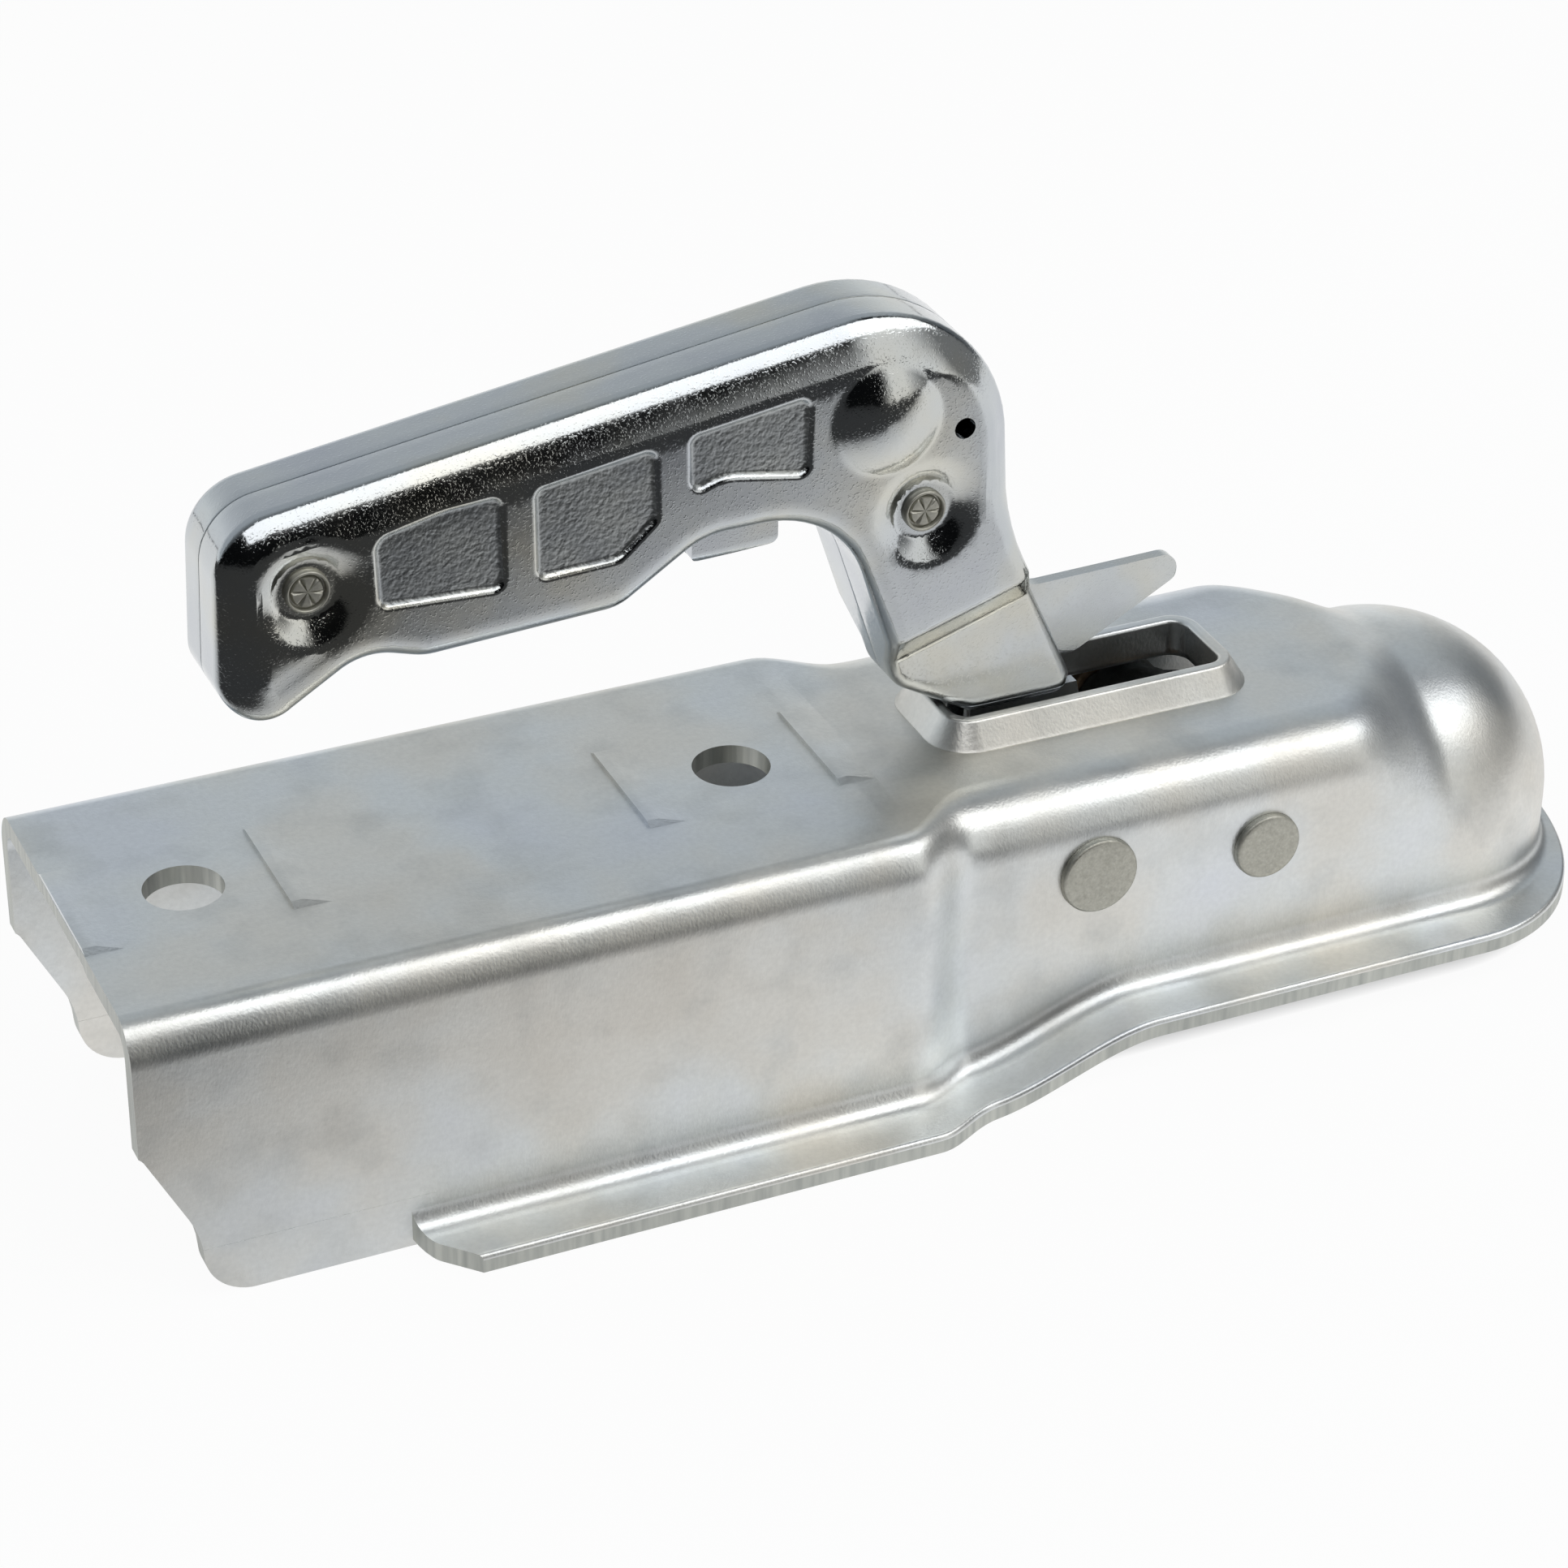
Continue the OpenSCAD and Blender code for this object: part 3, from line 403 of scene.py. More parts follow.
def rounded(corners, inset=0.0, step=7.5):
    """Points round an outline of (x, z, radius) corners, moved inwards by inset."""
    points = []
    n = len(corners)
    for i in range(n):
        before, here, after = corners[i - 1], corners[i], corners[(i + 1) % n]
        u = np.array([here[0] - before[0], here[1] - before[1]])
        v = np.array([after[0] - here[0], after[1] - here[1]])
        n1 = np.array([-u[1], u[0]]) / np.hypot(*u)
        n2 = np.array([-v[1], v[0]]) / np.hypot(*v)
        turn = math.atan2(n1[0] * n2[1] - n1[1] * n2[0], float(n1 @ n2))
        way = -1 if turn < 0 else 1
        centre = np.array(here[:2]) + way * here[2] * (n1 + n2) / (1 + float(n1 @ n2))
        rho = here[2] - way * inset
        steps = 0 if abs(turn) < math.radians(0.5) else max(1, math.ceil(abs(math.degrees(turn)) / step))
        for k in range(steps + 1):
            a = turn * k / max(1, steps)
            c, s = math.cos(a), math.sin(a)
            points.append(tuple(centre - way * rho * np.array(
                [n1[0] * c - n1[1] * s, n1[0] * s + n1[1] * c])))
    return points


# Shell

def smooth(t):
    """Ease from 0 to 1."""
    t = min(1.0, max(0.0, t))
    return t * t * (3 - 2 * t)


def between(x, x0, x1, a, b):
    """Ease from a at x0 to b at x1."""
    return a + (b - a) * smooth((x - x0) / (x1 - x0))


def shell_section(sizes, x, turn):
    """Outer and inner half section of the shell as (distance from centre, z) at a station."""
    nose = sizes.ball_d / 2 + sizes.socket_gap + sizes.sheet_t
    rear = sizes.tube_w / 2 + sizes.tube_gap + sizes.sheet_t
    t = sizes.sheet_t
    w = between(x, -102, -90, rear, nose)
    if x < -22:
        r_top = between(x, -104, -86, sizes.rear_bend, sizes.front_bend)
        r_side = between(x, -104, -86, sizes.rear_bend_side, sizes.front_bend)
    else:
        r_top = r_side = between(x, -22, 0, sizes.front_bend, nose - 1.6)
    top = between(x, -10, 0, sizes.top_h, nose)
    foot = between(x, -93, -61, sizes.top_h - sizes.channel_depth, sizes.top_h - sizes.front_depth)
    spread_out = 1.7 + (sizes.flange_reach - 1.7) * abs(math.sin(turn)) ** 2.6
    roll = 0.9 - 0.4 * math.cos(turn) ** 2
    bend = sizes.foot_bend * (0.2 + 0.8 * math.sin(turn) ** 2)

    def bend_point(a, inwards):
        """Point of the upper bend: one arc to half way, a wider one below it."""
        if a <= math.pi / 4:
            centre = (w - HALF_ROOT * r_top - (1 - HALF_ROOT) * r_side, top - r_top)
            return centre[0] + (r_top - inwards) * math.sin(a), centre[1] + (r_top - inwards) * math.cos(a)
        centre = (w - r_side, top - r_top * (1 - HALF_ROOT) - r_side * HALF_ROOT)
        return centre[0] + (r_side - inwards) * math.sin(a), centre[1] + (r_side - inwards) * math.cos(a)

    outer = [(0.0, top)] + [bend_point(math.pi / 2 * i / 20, 0) for i in range(21)]
    for i in range(9):
        a = math.pi / 2 * i / 8
        outer.append((w + bend - bend * math.cos(a), foot + t + bend - bend * math.sin(a)))
    for i in range(5):
        a = math.pi / 2 * i / 4
        outer.append((w + spread_out - roll + roll * math.sin(a), foot + t - roll + roll * math.cos(a)))
    inner = [(w + spread_out, foot)]
    big = bend + t
    for i in range(8, -1, -1):
        a = math.pi / 2 * i / 8
        inner.append((w + bend - big * math.cos(a), foot + big - big * math.sin(a)))
    inner += [bend_point(math.pi / 2 * i / 20, t) for i in range(20, -1, -1)]
    inner.append((0.0, top - t))
    return outer + inner, len(outer)


def shell_loft(sizes):
    """The shell's skin as one closed loft round the dome."""
    line = [REAR_END, -150.0]
    line += list(np.linspace(-104, -61, 44))
    line += list(np.linspace(-22, 0, 23))
    steps = 72
    stations = [(x, math.pi / 2) for x in line]
    stations += [(0.0, math.pi / 2 - math.pi * i / steps) for i in range(1, steps)]
    stations += [(x, -math.pi / 2) for x in reversed(line)]
    points, faces, slots = [], [], []
    n = 0
    for x, turn in stations:
        section, outer_count = shell_section(sizes, x, turn)
        n = len(section)
        points += [(x + d * math.cos(turn), d * math.sin(turn), z) for d, z in section]
    for j in range(len(stations) - 1):
        for k in range(n - 1):
            a, b = j * n + k, j * n + k + 1
            faces.append([a, b, b + n, a + n])
            slots.append(1 if k == outer_count - 1 else 0)
    for base in (0, (len(stations) - 1) * n):
        faces.append(list(range(base, base + n)))
        slots.append(1)
    shell = mesh_of("shell_skin", points, faces, ["shell", "edge"], slots)
    return merged(shell, 0.001)


def swept_ring(name, profile, length, width, corner, centre, steps=8):
    """A profile of (outwards, z) swept round a rounded rectangle."""
    path = []
    for i, (sx, sy) in enumerate(((1, 1), (-1, 1), (-1, -1), (1, -1))):
        for k in range(steps + 1):
            a = math.pi / 2 * (i + k / steps)
            path.append((sx * (length / 2 - corner), sy * (width / 2 - corner), a))
    n = len(profile)
    points = []
    for cx, cy, a in path:
        for u, z in profile:
            points.append((centre + cx + (corner + u) * math.cos(a), cy + (corner + u) * math.sin(a), z))
    m = len(path)
    faces = [[j * n + k, (j + 1) % m * n + k, (j + 1) % m * n + (k + 1) % n, j * n + (k + 1) % n]
             for j in range(m) for k in range(n)]
    return merged(mesh_of(name, points, faces, ["shell"]))


def arc(cx, cz, r, start, end, steps):
    """Points along an arc, angles in degrees."""
    return [(cx + r * math.cos(math.radians(start + (end - start) * i / steps)),
             cz + r * math.sin(math.radians(start + (end - start) * i / steps))) for i in range(steps + 1)]


def bead_block(x, z, sizes, root, finish_name):
    """One half-sheared bead, with its step at x and its run forwards."""
    half, run, height = sizes.bead_w / 2, sizes.bead_run, sizes.bead_h
    deep = 1 + root / height
    lower = half + 1.8 * root
    upper = half - 1.8 * height
    points = [(x, -lower, z - root), (x, lower, z - root), (x, upper, z + height), (x, -upper, z + height),
              (x + run * deep, -lower, z - root), (x + run * deep, lower, z - root),
              (x + run * 0.35, -upper, z + height), (x + run * 0.35, upper, z + height)]
    faces = [[0, 1, 2, 3], [4, 0, 3, 6], [1, 5, 7, 2], [3, 2, 7, 6], [6, 7, 5, 4], [0, 4, 5, 1]]
    return merged(mesh_of("bead", points, faces, [finish_name]))


class COUPLING_OT_shell(bpy.types.Operator):
    """Build the pressed shell as a fine skin that stands for the CAD shell"""
    bl_idname = "coupling.shell"
    bl_label = "Pressed shell"

    def execute(self, context):
        sizes = in_millimetres(context.scene.coupling_shell)
        shell = shell_loft(sizes)
        rear = sizes.tube_w / 2 + sizes.tube_gap + sizes.sheet_t
        foot = sizes.top_h - sizes.channel_depth
        t = sizes.sheet_t
        top = sizes.top_h
        roof = top - t
        # Flange starts some way along the wall, and the wall's foot is square behind it
        start = REAR_END + 41.5
        clear = REAR_END - 7
        corner = [(clear, rear + 0.03)] + rounded([
            (start, rear + 0.03, 0), (start + 2.2, rear + 5, 4), (start + 7.5, rear + 10.6, 0),
            (start + 7.5, rear + 18, 0), (clear, rear + 18, 0)])
        combine(shell, [prism("flange_cut", [(x, side * y) for x, y in corner],
                              foot - 1, foot + sizes.foot_bend + t + 2) for side in (1, -1)], "DIFFERENCE")
        y0, y1 = rear - t - 0.02, rear + 0.05
        strip = [(REAR_END, y0), (start + 4, y0), (start + 4, y1), (REAR_END, y1)]
        adders = [prism("wall_foot", [(x, side * y) for x, y in strip], foot + 0.03, foot + 9,
                        finish_name="shell") for side in (1, -1)]
        rim_z = top + sizes.collar_h
        wall = sizes.collar_t
        foot_out = wall + sizes.collar_root
        collar = [(0, roof + 0.5), (foot_out, top - 1), (foot_out, top + 0.1),
                  (foot_out - 0.35, top + 0.55)]
        collar += arc(wall - 0.75, rim_z - 0.7, 0.7, 25, 90, 4) + arc(0.7, rim_z - 0.7, 0.7, 90, 180, 5)
        middle = -sizes.open_front - sizes.open_len / 2
        adders.append(swept_ring("collar", collar, sizes.open_len, sizes.open_w, 2.6, middle))
        spots = [REAR_END, -195.7, -138.0, -105.7]
        adders += [bead_block(x + 0.03, top, sizes, 0.4, "shell") for x in spots]
        combine(shell, adders, "UNION")
        cutters = [bead_block(x, roof, sizes, 0.4, "shell") for x in spots]
        under = [(-1, roof - 1), (2.4, roof - 1)]
        under += arc(2.4, roof + 2.4, 2.4, 270, 180, 6) + [(-1, roof + 2.4)]
        cutters.append(swept_ring("under_collar", under, sizes.open_len, sizes.open_w, 2.6, middle))
        corners = [(sx * (sizes.open_len / 2) + middle, sy * sizes.open_w / 2, 2.6)
                   for sx, sy in ((1, -1), (1, 1), (-1, 1), (-1, -1))]
        cutters.append(prism("opening", rounded(corners), roof - 1, rim_z + 1, finish_name="shell"))
        x0, x1 = REAR_END, REAR_END + 8.6
        end = rounded([(x0 - 20, foot - 10, 0), (x1 + 20, foot - 10, 0), (x1 + 20, foot, 0),
                       (x1 + 0.6, foot, 8), (x1, foot + 11.8, 18), (x0, top - 21.5, 3),
                       (x0 - 20, top - 21.5, 0)])
        cutters.append(prism("wall_end", end, -60, 60, "y"))
        for x in BOLTS_X:
            cutters.append(prism("bolt_hole", disc(sizes.bolt_d / 2, (x, 0)), roof - 1, top + 1))
        for radius, place in ((6.63, PIVOT), (5.78, JAW_AT)):
            cutters.append(prism("pin_hole", disc(radius, place), -40, 40, "y"))
        combine(shell, cutters, "DIFFERENCE")
        merged(shell, 0.004)
        shaded(shell)
        shell.name = "pressed_shell"
        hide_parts("housing")
        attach(shell, "head")
        return {"FINISHED"}


# Hand lever, drawn about its pivot

RIVETS = ((-121.7, 67.1), (-22.6, 59.8))
BOSS = (-30.0, 77.1)
PEEP = (-16.9, 73.4)
CREASE = (37.8, 44.1)
TURN = math.radians(17.5)
TOP_LINE = (-8.1, 97.3, 0.1494)
HEAD = (-27.0, 70.0)
ARM_SIDES = ((-36.7, 63.1), (-24.7, 26.6), (8.4, 18.7), (-7.5, 53.4))
PANELS = (
    ((-111.6, 62.4, 2), (-91.6, 61.4, 2), (-91.6, 77.4, 2), (-101, 76.7, 12), (-112, 74.2, 3)),
    ((-87, 61.8, 2), (-73.4, 62.4, 3), (-67.2, 68, 2), (-67.2, 80.3, 2), (-87, 77.3, 2)),
    ((-62.4, 70.4, 2), (-57, 72.8, 8), (-42.5, 70.2, 2), (-42.4, 84, 2), (-62.5, 81, 2)))


def level(x, z):
    """Height along the arm, square to the creases."""
    return z * math.cos(TURN) - x * math.sin(TURN)


def crease_corner(a, b, height):
    """Point on a line at a height along the arm."""
    t = (height - level(*a)) / (level(*b) - level(*a))
    return (a[0] + (b[0] - a[0]) * t, a[1] + (b[1] - a[1]) * t, 0)


def lever_corners():
    """Corners of the lever's outline with their radii."""
    arch, heel, arm, knee = ARM_SIDES
    return [
        (-134.6, 78.4, 10), (-135.6, 50.9, 6.8), (-129.2, 45.1, 6.8), (-113.6, 55.2, 10),
        (-104.3, 52.3, 10),
        (-73.2, 53.8, 8), (-59.3, 62.9, 12), (*arch, 18), crease_corner(arch, heel, CREASE[1]),
        crease_corner(arch, heel, CREASE[0]), (*heel, 6), (-11, 18.7, 3), (*arm, 3),
        crease_corner(arm, knee, CREASE[0]), crease_corner(arm, knee, CREASE[1]), (*knee, 30),
        (-8.1, 97.18, 25)]


def distance_to(loop, points):
    """Distance from each point to a closed loop, and whether it lies inside."""
    a = np.array(loop)
    b = np.roll(a, -1, 0)
    best = np.full(len(points), 1e9)
    inside = np.zeros(len(points), bool)
    for p, q in zip(a, b):
        d = q - p
        size = float(d @ d)
        if size < 1e-12:
            continue
        t = np.clip(((points - p) @ d) / size, 0, 1)
        best = np.minimum(best, np.hypot(*(points - p - t[:, None] * d).T))
        crosses = (p[1] > points[:, 1]) != (q[1] > points[:, 1])
        if p[1] != q[1]:
            x = p[0] + (points[:, 1] - p[1]) * (q[0] - p[0]) / (q[1] - p[1])
            inside ^= crosses & (points[:, 0] < x)
    return best, inside


def soft_step(t):
    """Ease from 0 to 1 for arrays."""
    t = np.clip(t, 0, 1)
    return t * t * (3 - 2 * t)


def lever_height(sizes, points, loop):
    """Half width of the drawn lever at points of its outline plane."""
    away, _ = distance_to(loop, points)
    up = level(points[:, 0], points[:, 1])
    rise = CREASE[1] - CREASE[0]
    share = soft_step((up - CREASE[0] + 1.0) / (rise + 2.0)) * 0.45 + 0.55 * np.clip((up - CREASE[0]) / rise, 0, 1)
    half = sizes.arm_half + (sizes.grip_half - sizes.arm_half) * share
    x, z = points[:, 0], points[:, 1]
    below_top = (TOP_LINE[1] + (x - TOP_LINE[0]) * TOP_LINE[2] - z) * 0.989
    crowned = np.maximum(
        1 - soft_step((below_top - 8) / 10), soft_step((-120 - x) / 8) * soft_step((z - 46) / 8))
    round_head = soft_step((np.hypot(x - HEAD[0], z - HEAD[1]) - 12) / 6) * soft_step((x + z - 42) / 16)
    crowned = np.maximum(crowned, np.where(x > -45, round_head, 0))
    tight = 2.2 + (sizes.rim_tight - 2.2) * share
    slow = 2.2 + (sizes.rim_low - 2.2) * share + (sizes.rim_slow - sizes.rim_low) * share * crowned
    knee = tight * (1 - HALF_ROOT)
    far = np.clip(knee + slow * HALF_ROOT - away, 0, slow * HALF_ROOT)
    steep = np.clip(1 - away / tight, 0, 1)
    half = half - np.where(
        away < knee, slow * (1 - HALF_ROOT) + tight * (HALF_ROOT - np.sqrt(1 - steep ** 2)),
        slow - np.sqrt(slow ** 2 - far ** 2))
    reach = np.hypot(points[:, 0] - BOSS[0], points[:, 1] - BOSS[1])
    ball = (9.0 ** 2 + sizes.boss_h ** 2) / (2 * sizes.boss_h)
    cap = np.sqrt(np.maximum(ball ** 2 - reach ** 2, 0)) - (ball - sizes.boss_h)
    half = half + 0.5 * (cap + np.sqrt(cap ** 2 + 0.01)) * soft_step((10.0 - reach) / 0.8)
    for spot in RIVETS:
        reach = np.hypot(points[:, 0] - spot[0], points[:, 1] - spot[1])
        half = half - sizes.dish_depth * (1 - np.clip((reach - 4.9) / 5.6, 0, 1)) ** 2
    for corners in PANELS:
        away, inside = distance_to(rounded(corners, 0, 15), points)
        signed = np.where(inside, away, -away)
        half = half - sizes.panel_depth * soft_step((signed + 0.15) / 1.1)
    return half


def loop_edges(start, count):
    """Edges round a loop of points."""
    return [(start + i, start + (i + 1) % count) for i in range(count)]


def lever_shell(sizes):
    """One half of the lever: drawn face, rounded rim and side wall, as one open sheet."""
    corners = lever_corners()
    rim = rounded(corners, 0, 6)
    points = [np.array(rim)]
    edges = loop_edges(0, len(rim))
    total = len(rim)

    def add_loop(loop):
        nonlocal total
        points.append(np.array(loop))
        edges.extend(loop_edges(total, len(loop)))
        total += len(loop)

    for inset in (0.04, 0.13, 0.27, 0.43, 0.65, 1.1, 1.7, 2.4, 3.2, 4.2, 5.3, 6.3):
        add_loop(rounded(corners, inset, 6))
    for spot in RIVETS:
        for radius in (3.0, 4.2, 4.9, 5.4, 5.9, 6.5, 7.1, 7.7, 8.4, 9.1, 9.8):
            add_loop(disc(radius, spot, 56))
    for radius in (1.5, 3.0, 4.5, 6.0, 7.0, 7.8, 8.4, 8.9, 9.4, 10.0, 10.6):
        add_loop(disc(radius, BOSS, 44))
    add_loop(disc(1.75, PEEP, 24))
    add_loop(disc(2.3, PEEP, 24))
    for panel in PANELS:
        for inset in (-0.5, -0.15, 0.1, 0.35, 0.65, 0.95, 1.3):
            add_loop(rounded(panel, inset, 15))
    for row in [c + d for c in CREASE for d in (-0.7, 0.0, 0.7)]:
        a, b = (np.array(crease_corner(*pair, row)[:2]) for pair in (ARM_SIDES[:2], ARM_SIDES[2:]))
        line = [a + (b - a) * (0.06 + 0.88 * k / 28) for k in range(29)]
        points.append(np.array(line))
        edges.extend([(total + k, total + k + 1) for k in range(28)])
        total += len(line)
    pitch = 1.5
    xs, zs = np.meshgrid(np.arange(-140, 12, pitch), np.arange(16, 96, pitch))
    across, rise = np.meshgrid(np.arange(-30, 40, 1.3), np.arange(CREASE[0] - 3.2, CREASE[1] + 3.4, 0.65))
    band = np.column_stack([
        (across * math.cos(TURN) - rise * math.sin(TURN)).ravel(),
        (across * math.sin(TURN) + rise * math.cos(TURN)).ravel()])
    from_middle = np.abs(level(xs.ravel(), zs.ravel()) - (CREASE[0] + CREASE[1]) / 2)
    far_away = from_middle > (CREASE[1] - CREASE[0]) / 2 + 3.6
    grid = np.vstack([np.column_stack([xs.ravel(), zs.ravel()])[far_away], band])
    away, inside = distance_to(rim, grid)
    keep = inside & (away > 6.8)
    for ring in points[13:]:
        near, _ = distance_to(ring, grid[keep])
        index = np.flatnonzero(keep)
        keep[index[near < 0.75]] = False
    points.append(grid[keep])
    flat = np.vstack(points)
    result = delaunay_2d_cdt([Vector(p) for p in flat], edges, [list(range(len(rim)))], 1, 1e-4)
    places = np.array([tuple(v) for v in result[0]])
    triangles = [tuple(f) for f in result[2]]
    centres = np.array([places[list(f)].mean(0) for f in triangles])
    hole = np.hypot(centres[:, 0] - PEEP[0], centres[:, 1] - PEEP[1]) < 1.72
    half = lever_height(sizes, places, rim)
    vertices = [(x, -h, z) for (x, z), h in zip(places, half)]
    faces, slots = [], []
    for f, gone, centre in zip(triangles, hole, centres):
        if gone:
            continue
        faces.append(f)
        slots.append(0)
    for corners_of in PANELS:
        loop = rounded(corners_of, 0.5, 15)
        _, within = distance_to(loop, np.array([places[list(f)].mean(0) for f in faces]))
        for i in np.flatnonzero(within):
            slots[i] = 1
    # Side wall from the rim in to the seam
    near = {}
    for i, (x, z) in enumerate(places):
        near[(round(x, 3), round(z, 3))] = i
    rim_ids = [near.get((round(float(x), 3), round(float(z), 3))) for x, z in rim]
    rim_ids = [i for i in rim_ids if i is not None]
    rim_ids = [i for k, i in enumerate(rim_ids) if i != rim_ids[k - 1]]
    base = len(vertices)
    rows = 3
    for r in range(1, rows + 1):
        for i in rim_ids:
            x, y, z = vertices[i]
            vertices.append((x, y + (-sizes.seam_gap - y) * r / rows, z))
    count = len(rim_ids)
    for r in range(rows):
        for k in range(count):
            a = rim_ids[k] if r == 0 else base + (r - 1) * count + k
            b = rim_ids[(k + 1) % count] if r == 0 else base + (r - 1) * count + (k + 1) % count
            c, d = base + r * count + (k + 1) % count, base + r * count + k
            low = level(vertices[d][0], vertices[d][2]) < 30 and vertices[d][2] < 20.3
            if low and -9.5 < vertices[d][0] < 7.2:
                continue
            faces.append((a, b, c, d))
            slots.append(0)
    return vertices, faces, slots


class COUPLING_OT_lever(bpy.types.Operator):
    """Build the two drawn halves of the hand lever"""
    bl_idname = "coupling.lever"
    bl_label = "Hand lever"

    def execute(self, context):
        sizes = in_millimetres(context.scene.coupling_lever)
        vertices, faces, slots = lever_shell(sizes)
        for side, node in ((1, "handle_half_right"), (-1, "handle_half_left")):
            placed = [(x + PIVOT[0], side * y, z + PIVOT[1]) for x, y, z in vertices]
            order = faces if side > 0 else [tuple(reversed(f)) for f in faces]
            half = mesh_of("lever_" + node[7:], placed, order, ["lever", "panel"], slots)
            merged(half, 0.002)
            bm = bmesh.new()
            bm.from_mesh(half.data)
            top = max(bm.faces, key=lambda f: abs(f.calc_center_median().y) * 1000)
            wrong = top.normal.y * -side < 0
            if wrong:
                bmesh.ops.reverse_faces(bm, faces=bm.faces)
            bm.to_mesh(half.data)
            bm.free()
            wall = half.modifiers.new("sheet", "SOLIDIFY")
            wall.thickness = sizes.sheet_t * MM
            wall.offset = -1
            wall.use_even_offset = True
            settle(half)
            bm = bmesh.new()
            bm.from_mesh(half.data)
            seam = [e for e in bm.edges if len(e.link_faces) == 2 and e.calc_face_angle() > 1.2
                    and all(abs(abs(v.co.y) - sizes.seam_gap * MM) < 0.01 * MM for v in e.verts)]
            bmesh.ops.bevel(bm, geom=seam, offset=0.28 * MM, segments=2, profile=0.5, affect="EDGES")
            bm.to_mesh(half.data)
            bm.free()
            nose = [(PIVOT[0] - 15.5, 13.7 + PIVOT[1]), (PIVOT[0] + 16, 13.7 + PIVOT[1]),
                    (PIVOT[0] + 16, 41.7 + PIVOT[1]), (PIVOT[0] - 15.5, 41.7 + PIVOT[1])]
            tools = [prism("nose_slot", nose, -1.6, 1.6, "y", "lever")]
            trigger = [(PIVOT[0] - 60.4, 60 + PIVOT[1]), (PIVOT[0] - 43, 60 + PIVOT[1]),
                       (PIVOT[0] - 43, 68 + PIVOT[1]), (PIVOT[0] - 60.4, 68 + PIVOT[1])]
            tools.append(prism("trigger_slot", trigger, -4.6, 4.6, "y", "lever"))
            combine(half, tools, "DIFFERENCE")
            shaded(half, math.radians(38))
            half.name = "lever_half_" + ("right" if side > 0 else "left")
            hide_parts(node)
            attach(half, "lever")
            # Lugs of this half, from below the collar's level
            lug = cad_copy(node, "lever_lug_" + ("right" if side > 0 else "left"), "lever")
            shaded(trimmed(lug, [((0, 0, (PIVOT[1] + 20.2) * MM), (0, 0, 1))]))
            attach(lug, "lever")
        return {"FINISHED"}


# Turned and peened pieces

def lathe(profile, steps, ripple=None):
    """Points and faces of a turned form about Y; profile is (radius, y), ripple lifts a ray."""
    points, faces = [], []
    n = len(profile)
    for j in range(steps):
        a = 2 * math.pi * j / steps
        for r, y in profile:
            lift = ripple(r, a) if ripple else 0.0
            points.append((r * math.cos(a), y + lift, r * math.sin(a)))
    for j in range(steps):
        for k in range(n - 1):
            a, b = j * n + k, j * n + k + 1
            c, d = (j + 1) % steps * n + k + 1, (j + 1) % steps * n + k
            faces.append([a, b, c, d])
    return points, faces


def rivet_head():
    """Peened rivet head: a raised ring and a dark gap round a face with three lines struck across it."""
    profile = [(0.0, 0.75), (0.5, 0.75), (1.0, 0.78), (1.5, 0.8), (2.0, 0.8), (2.3, 0.78), (2.45, 0.5),
               (2.58, 0.15), (2.8, 0.15), (2.92, 0.85), (3.05, 1.0), (3.25, 1.0), (3.42, 0.8), (3.5, -0.3)]

    def ripple(r, a):
        if r > 2.4:
            return 0.0
        return -0.42 * max(0.0, 1 - abs(math.sin(3 * a + 0.4)) / 0.5) * min(1.0, r / 0.9)

    points, faces = lathe(profile, 96, ripple)
    return [(x, -y, z) for x, y, z in points], [f[::-1] for f in faces]


def repeated(name, source, spots, finish_name):
    """Copies of a mesh on points, made by a node tree, then turned into one plain mesh."""
    tree = bpy.data.node_groups.new(name, "GeometryNodeTree")
    tree.is_modifier = True
    tree.interface.new_socket("Points", in_out="INPUT", socket_type="NodeSocketGeometry")
    tree.interface.new_socket("Piece", in_out="INPUT", socket_type="NodeSocketObject")
    tree.interface.new_socket("Finish", in_out="INPUT", socket_type="NodeSocketMaterial")
    tree.interface.new_socket("Result", in_out="OUTPUT", socket_type="NodeSocketGeometry")
    entry = add_node(tree, "NodeGroupInput")
    turn = add_node(tree, "GeometryNodeInputNamedAttribute", {"Name": "turn"}, data_type="FLOAT_VECTOR")
    piece = add_node(tree, "GeometryNodeObjectInfo", {"Object": entry.outputs["Piece"]})
    copies = add_node(tree, "GeometryNodeInstanceOnPoints", {
        "Points": entry.outputs["Points"], "Instance": piece.outputs["Geometry"],
        "Rotation": turn.outputs["Attribute"]})
    real = add_node(tree, "GeometryNodeRealizeInstances", {"Geometry": copies.outputs[0]})
    coat = add_node(tree, "GeometryNodeSetMaterial", {
        "Geometry": real.outputs[0], "Material": entry.outputs["Finish"]})
    add_node(tree, "NodeGroupOutput", {"Result": coat.outputs[0]})
    mesh = bpy.data.meshes.new(name)
    mesh.from_pydata([tuple(c * MM for c in s[0]) for s in spots], [], [])
    turns = mesh.attributes.new("turn", "FLOAT_VECTOR", "POINT")
    for item, spot in zip(turns.data, spots):
        item.vector = spot[1]
    thing = link(name, mesh)
    change = thing.modifiers.new("copies", "NODES")
    change.node_group = tree
    sockets = {s.name: s.identifier for s in tree.interface.items_tree if s.in_out == "INPUT"}
    change[sockets["Piece"]] = source
    change[sockets["Finish"]] = finish(finish_name)
    settle(thing)
    bpy.data.objects.remove(source)
    return thing


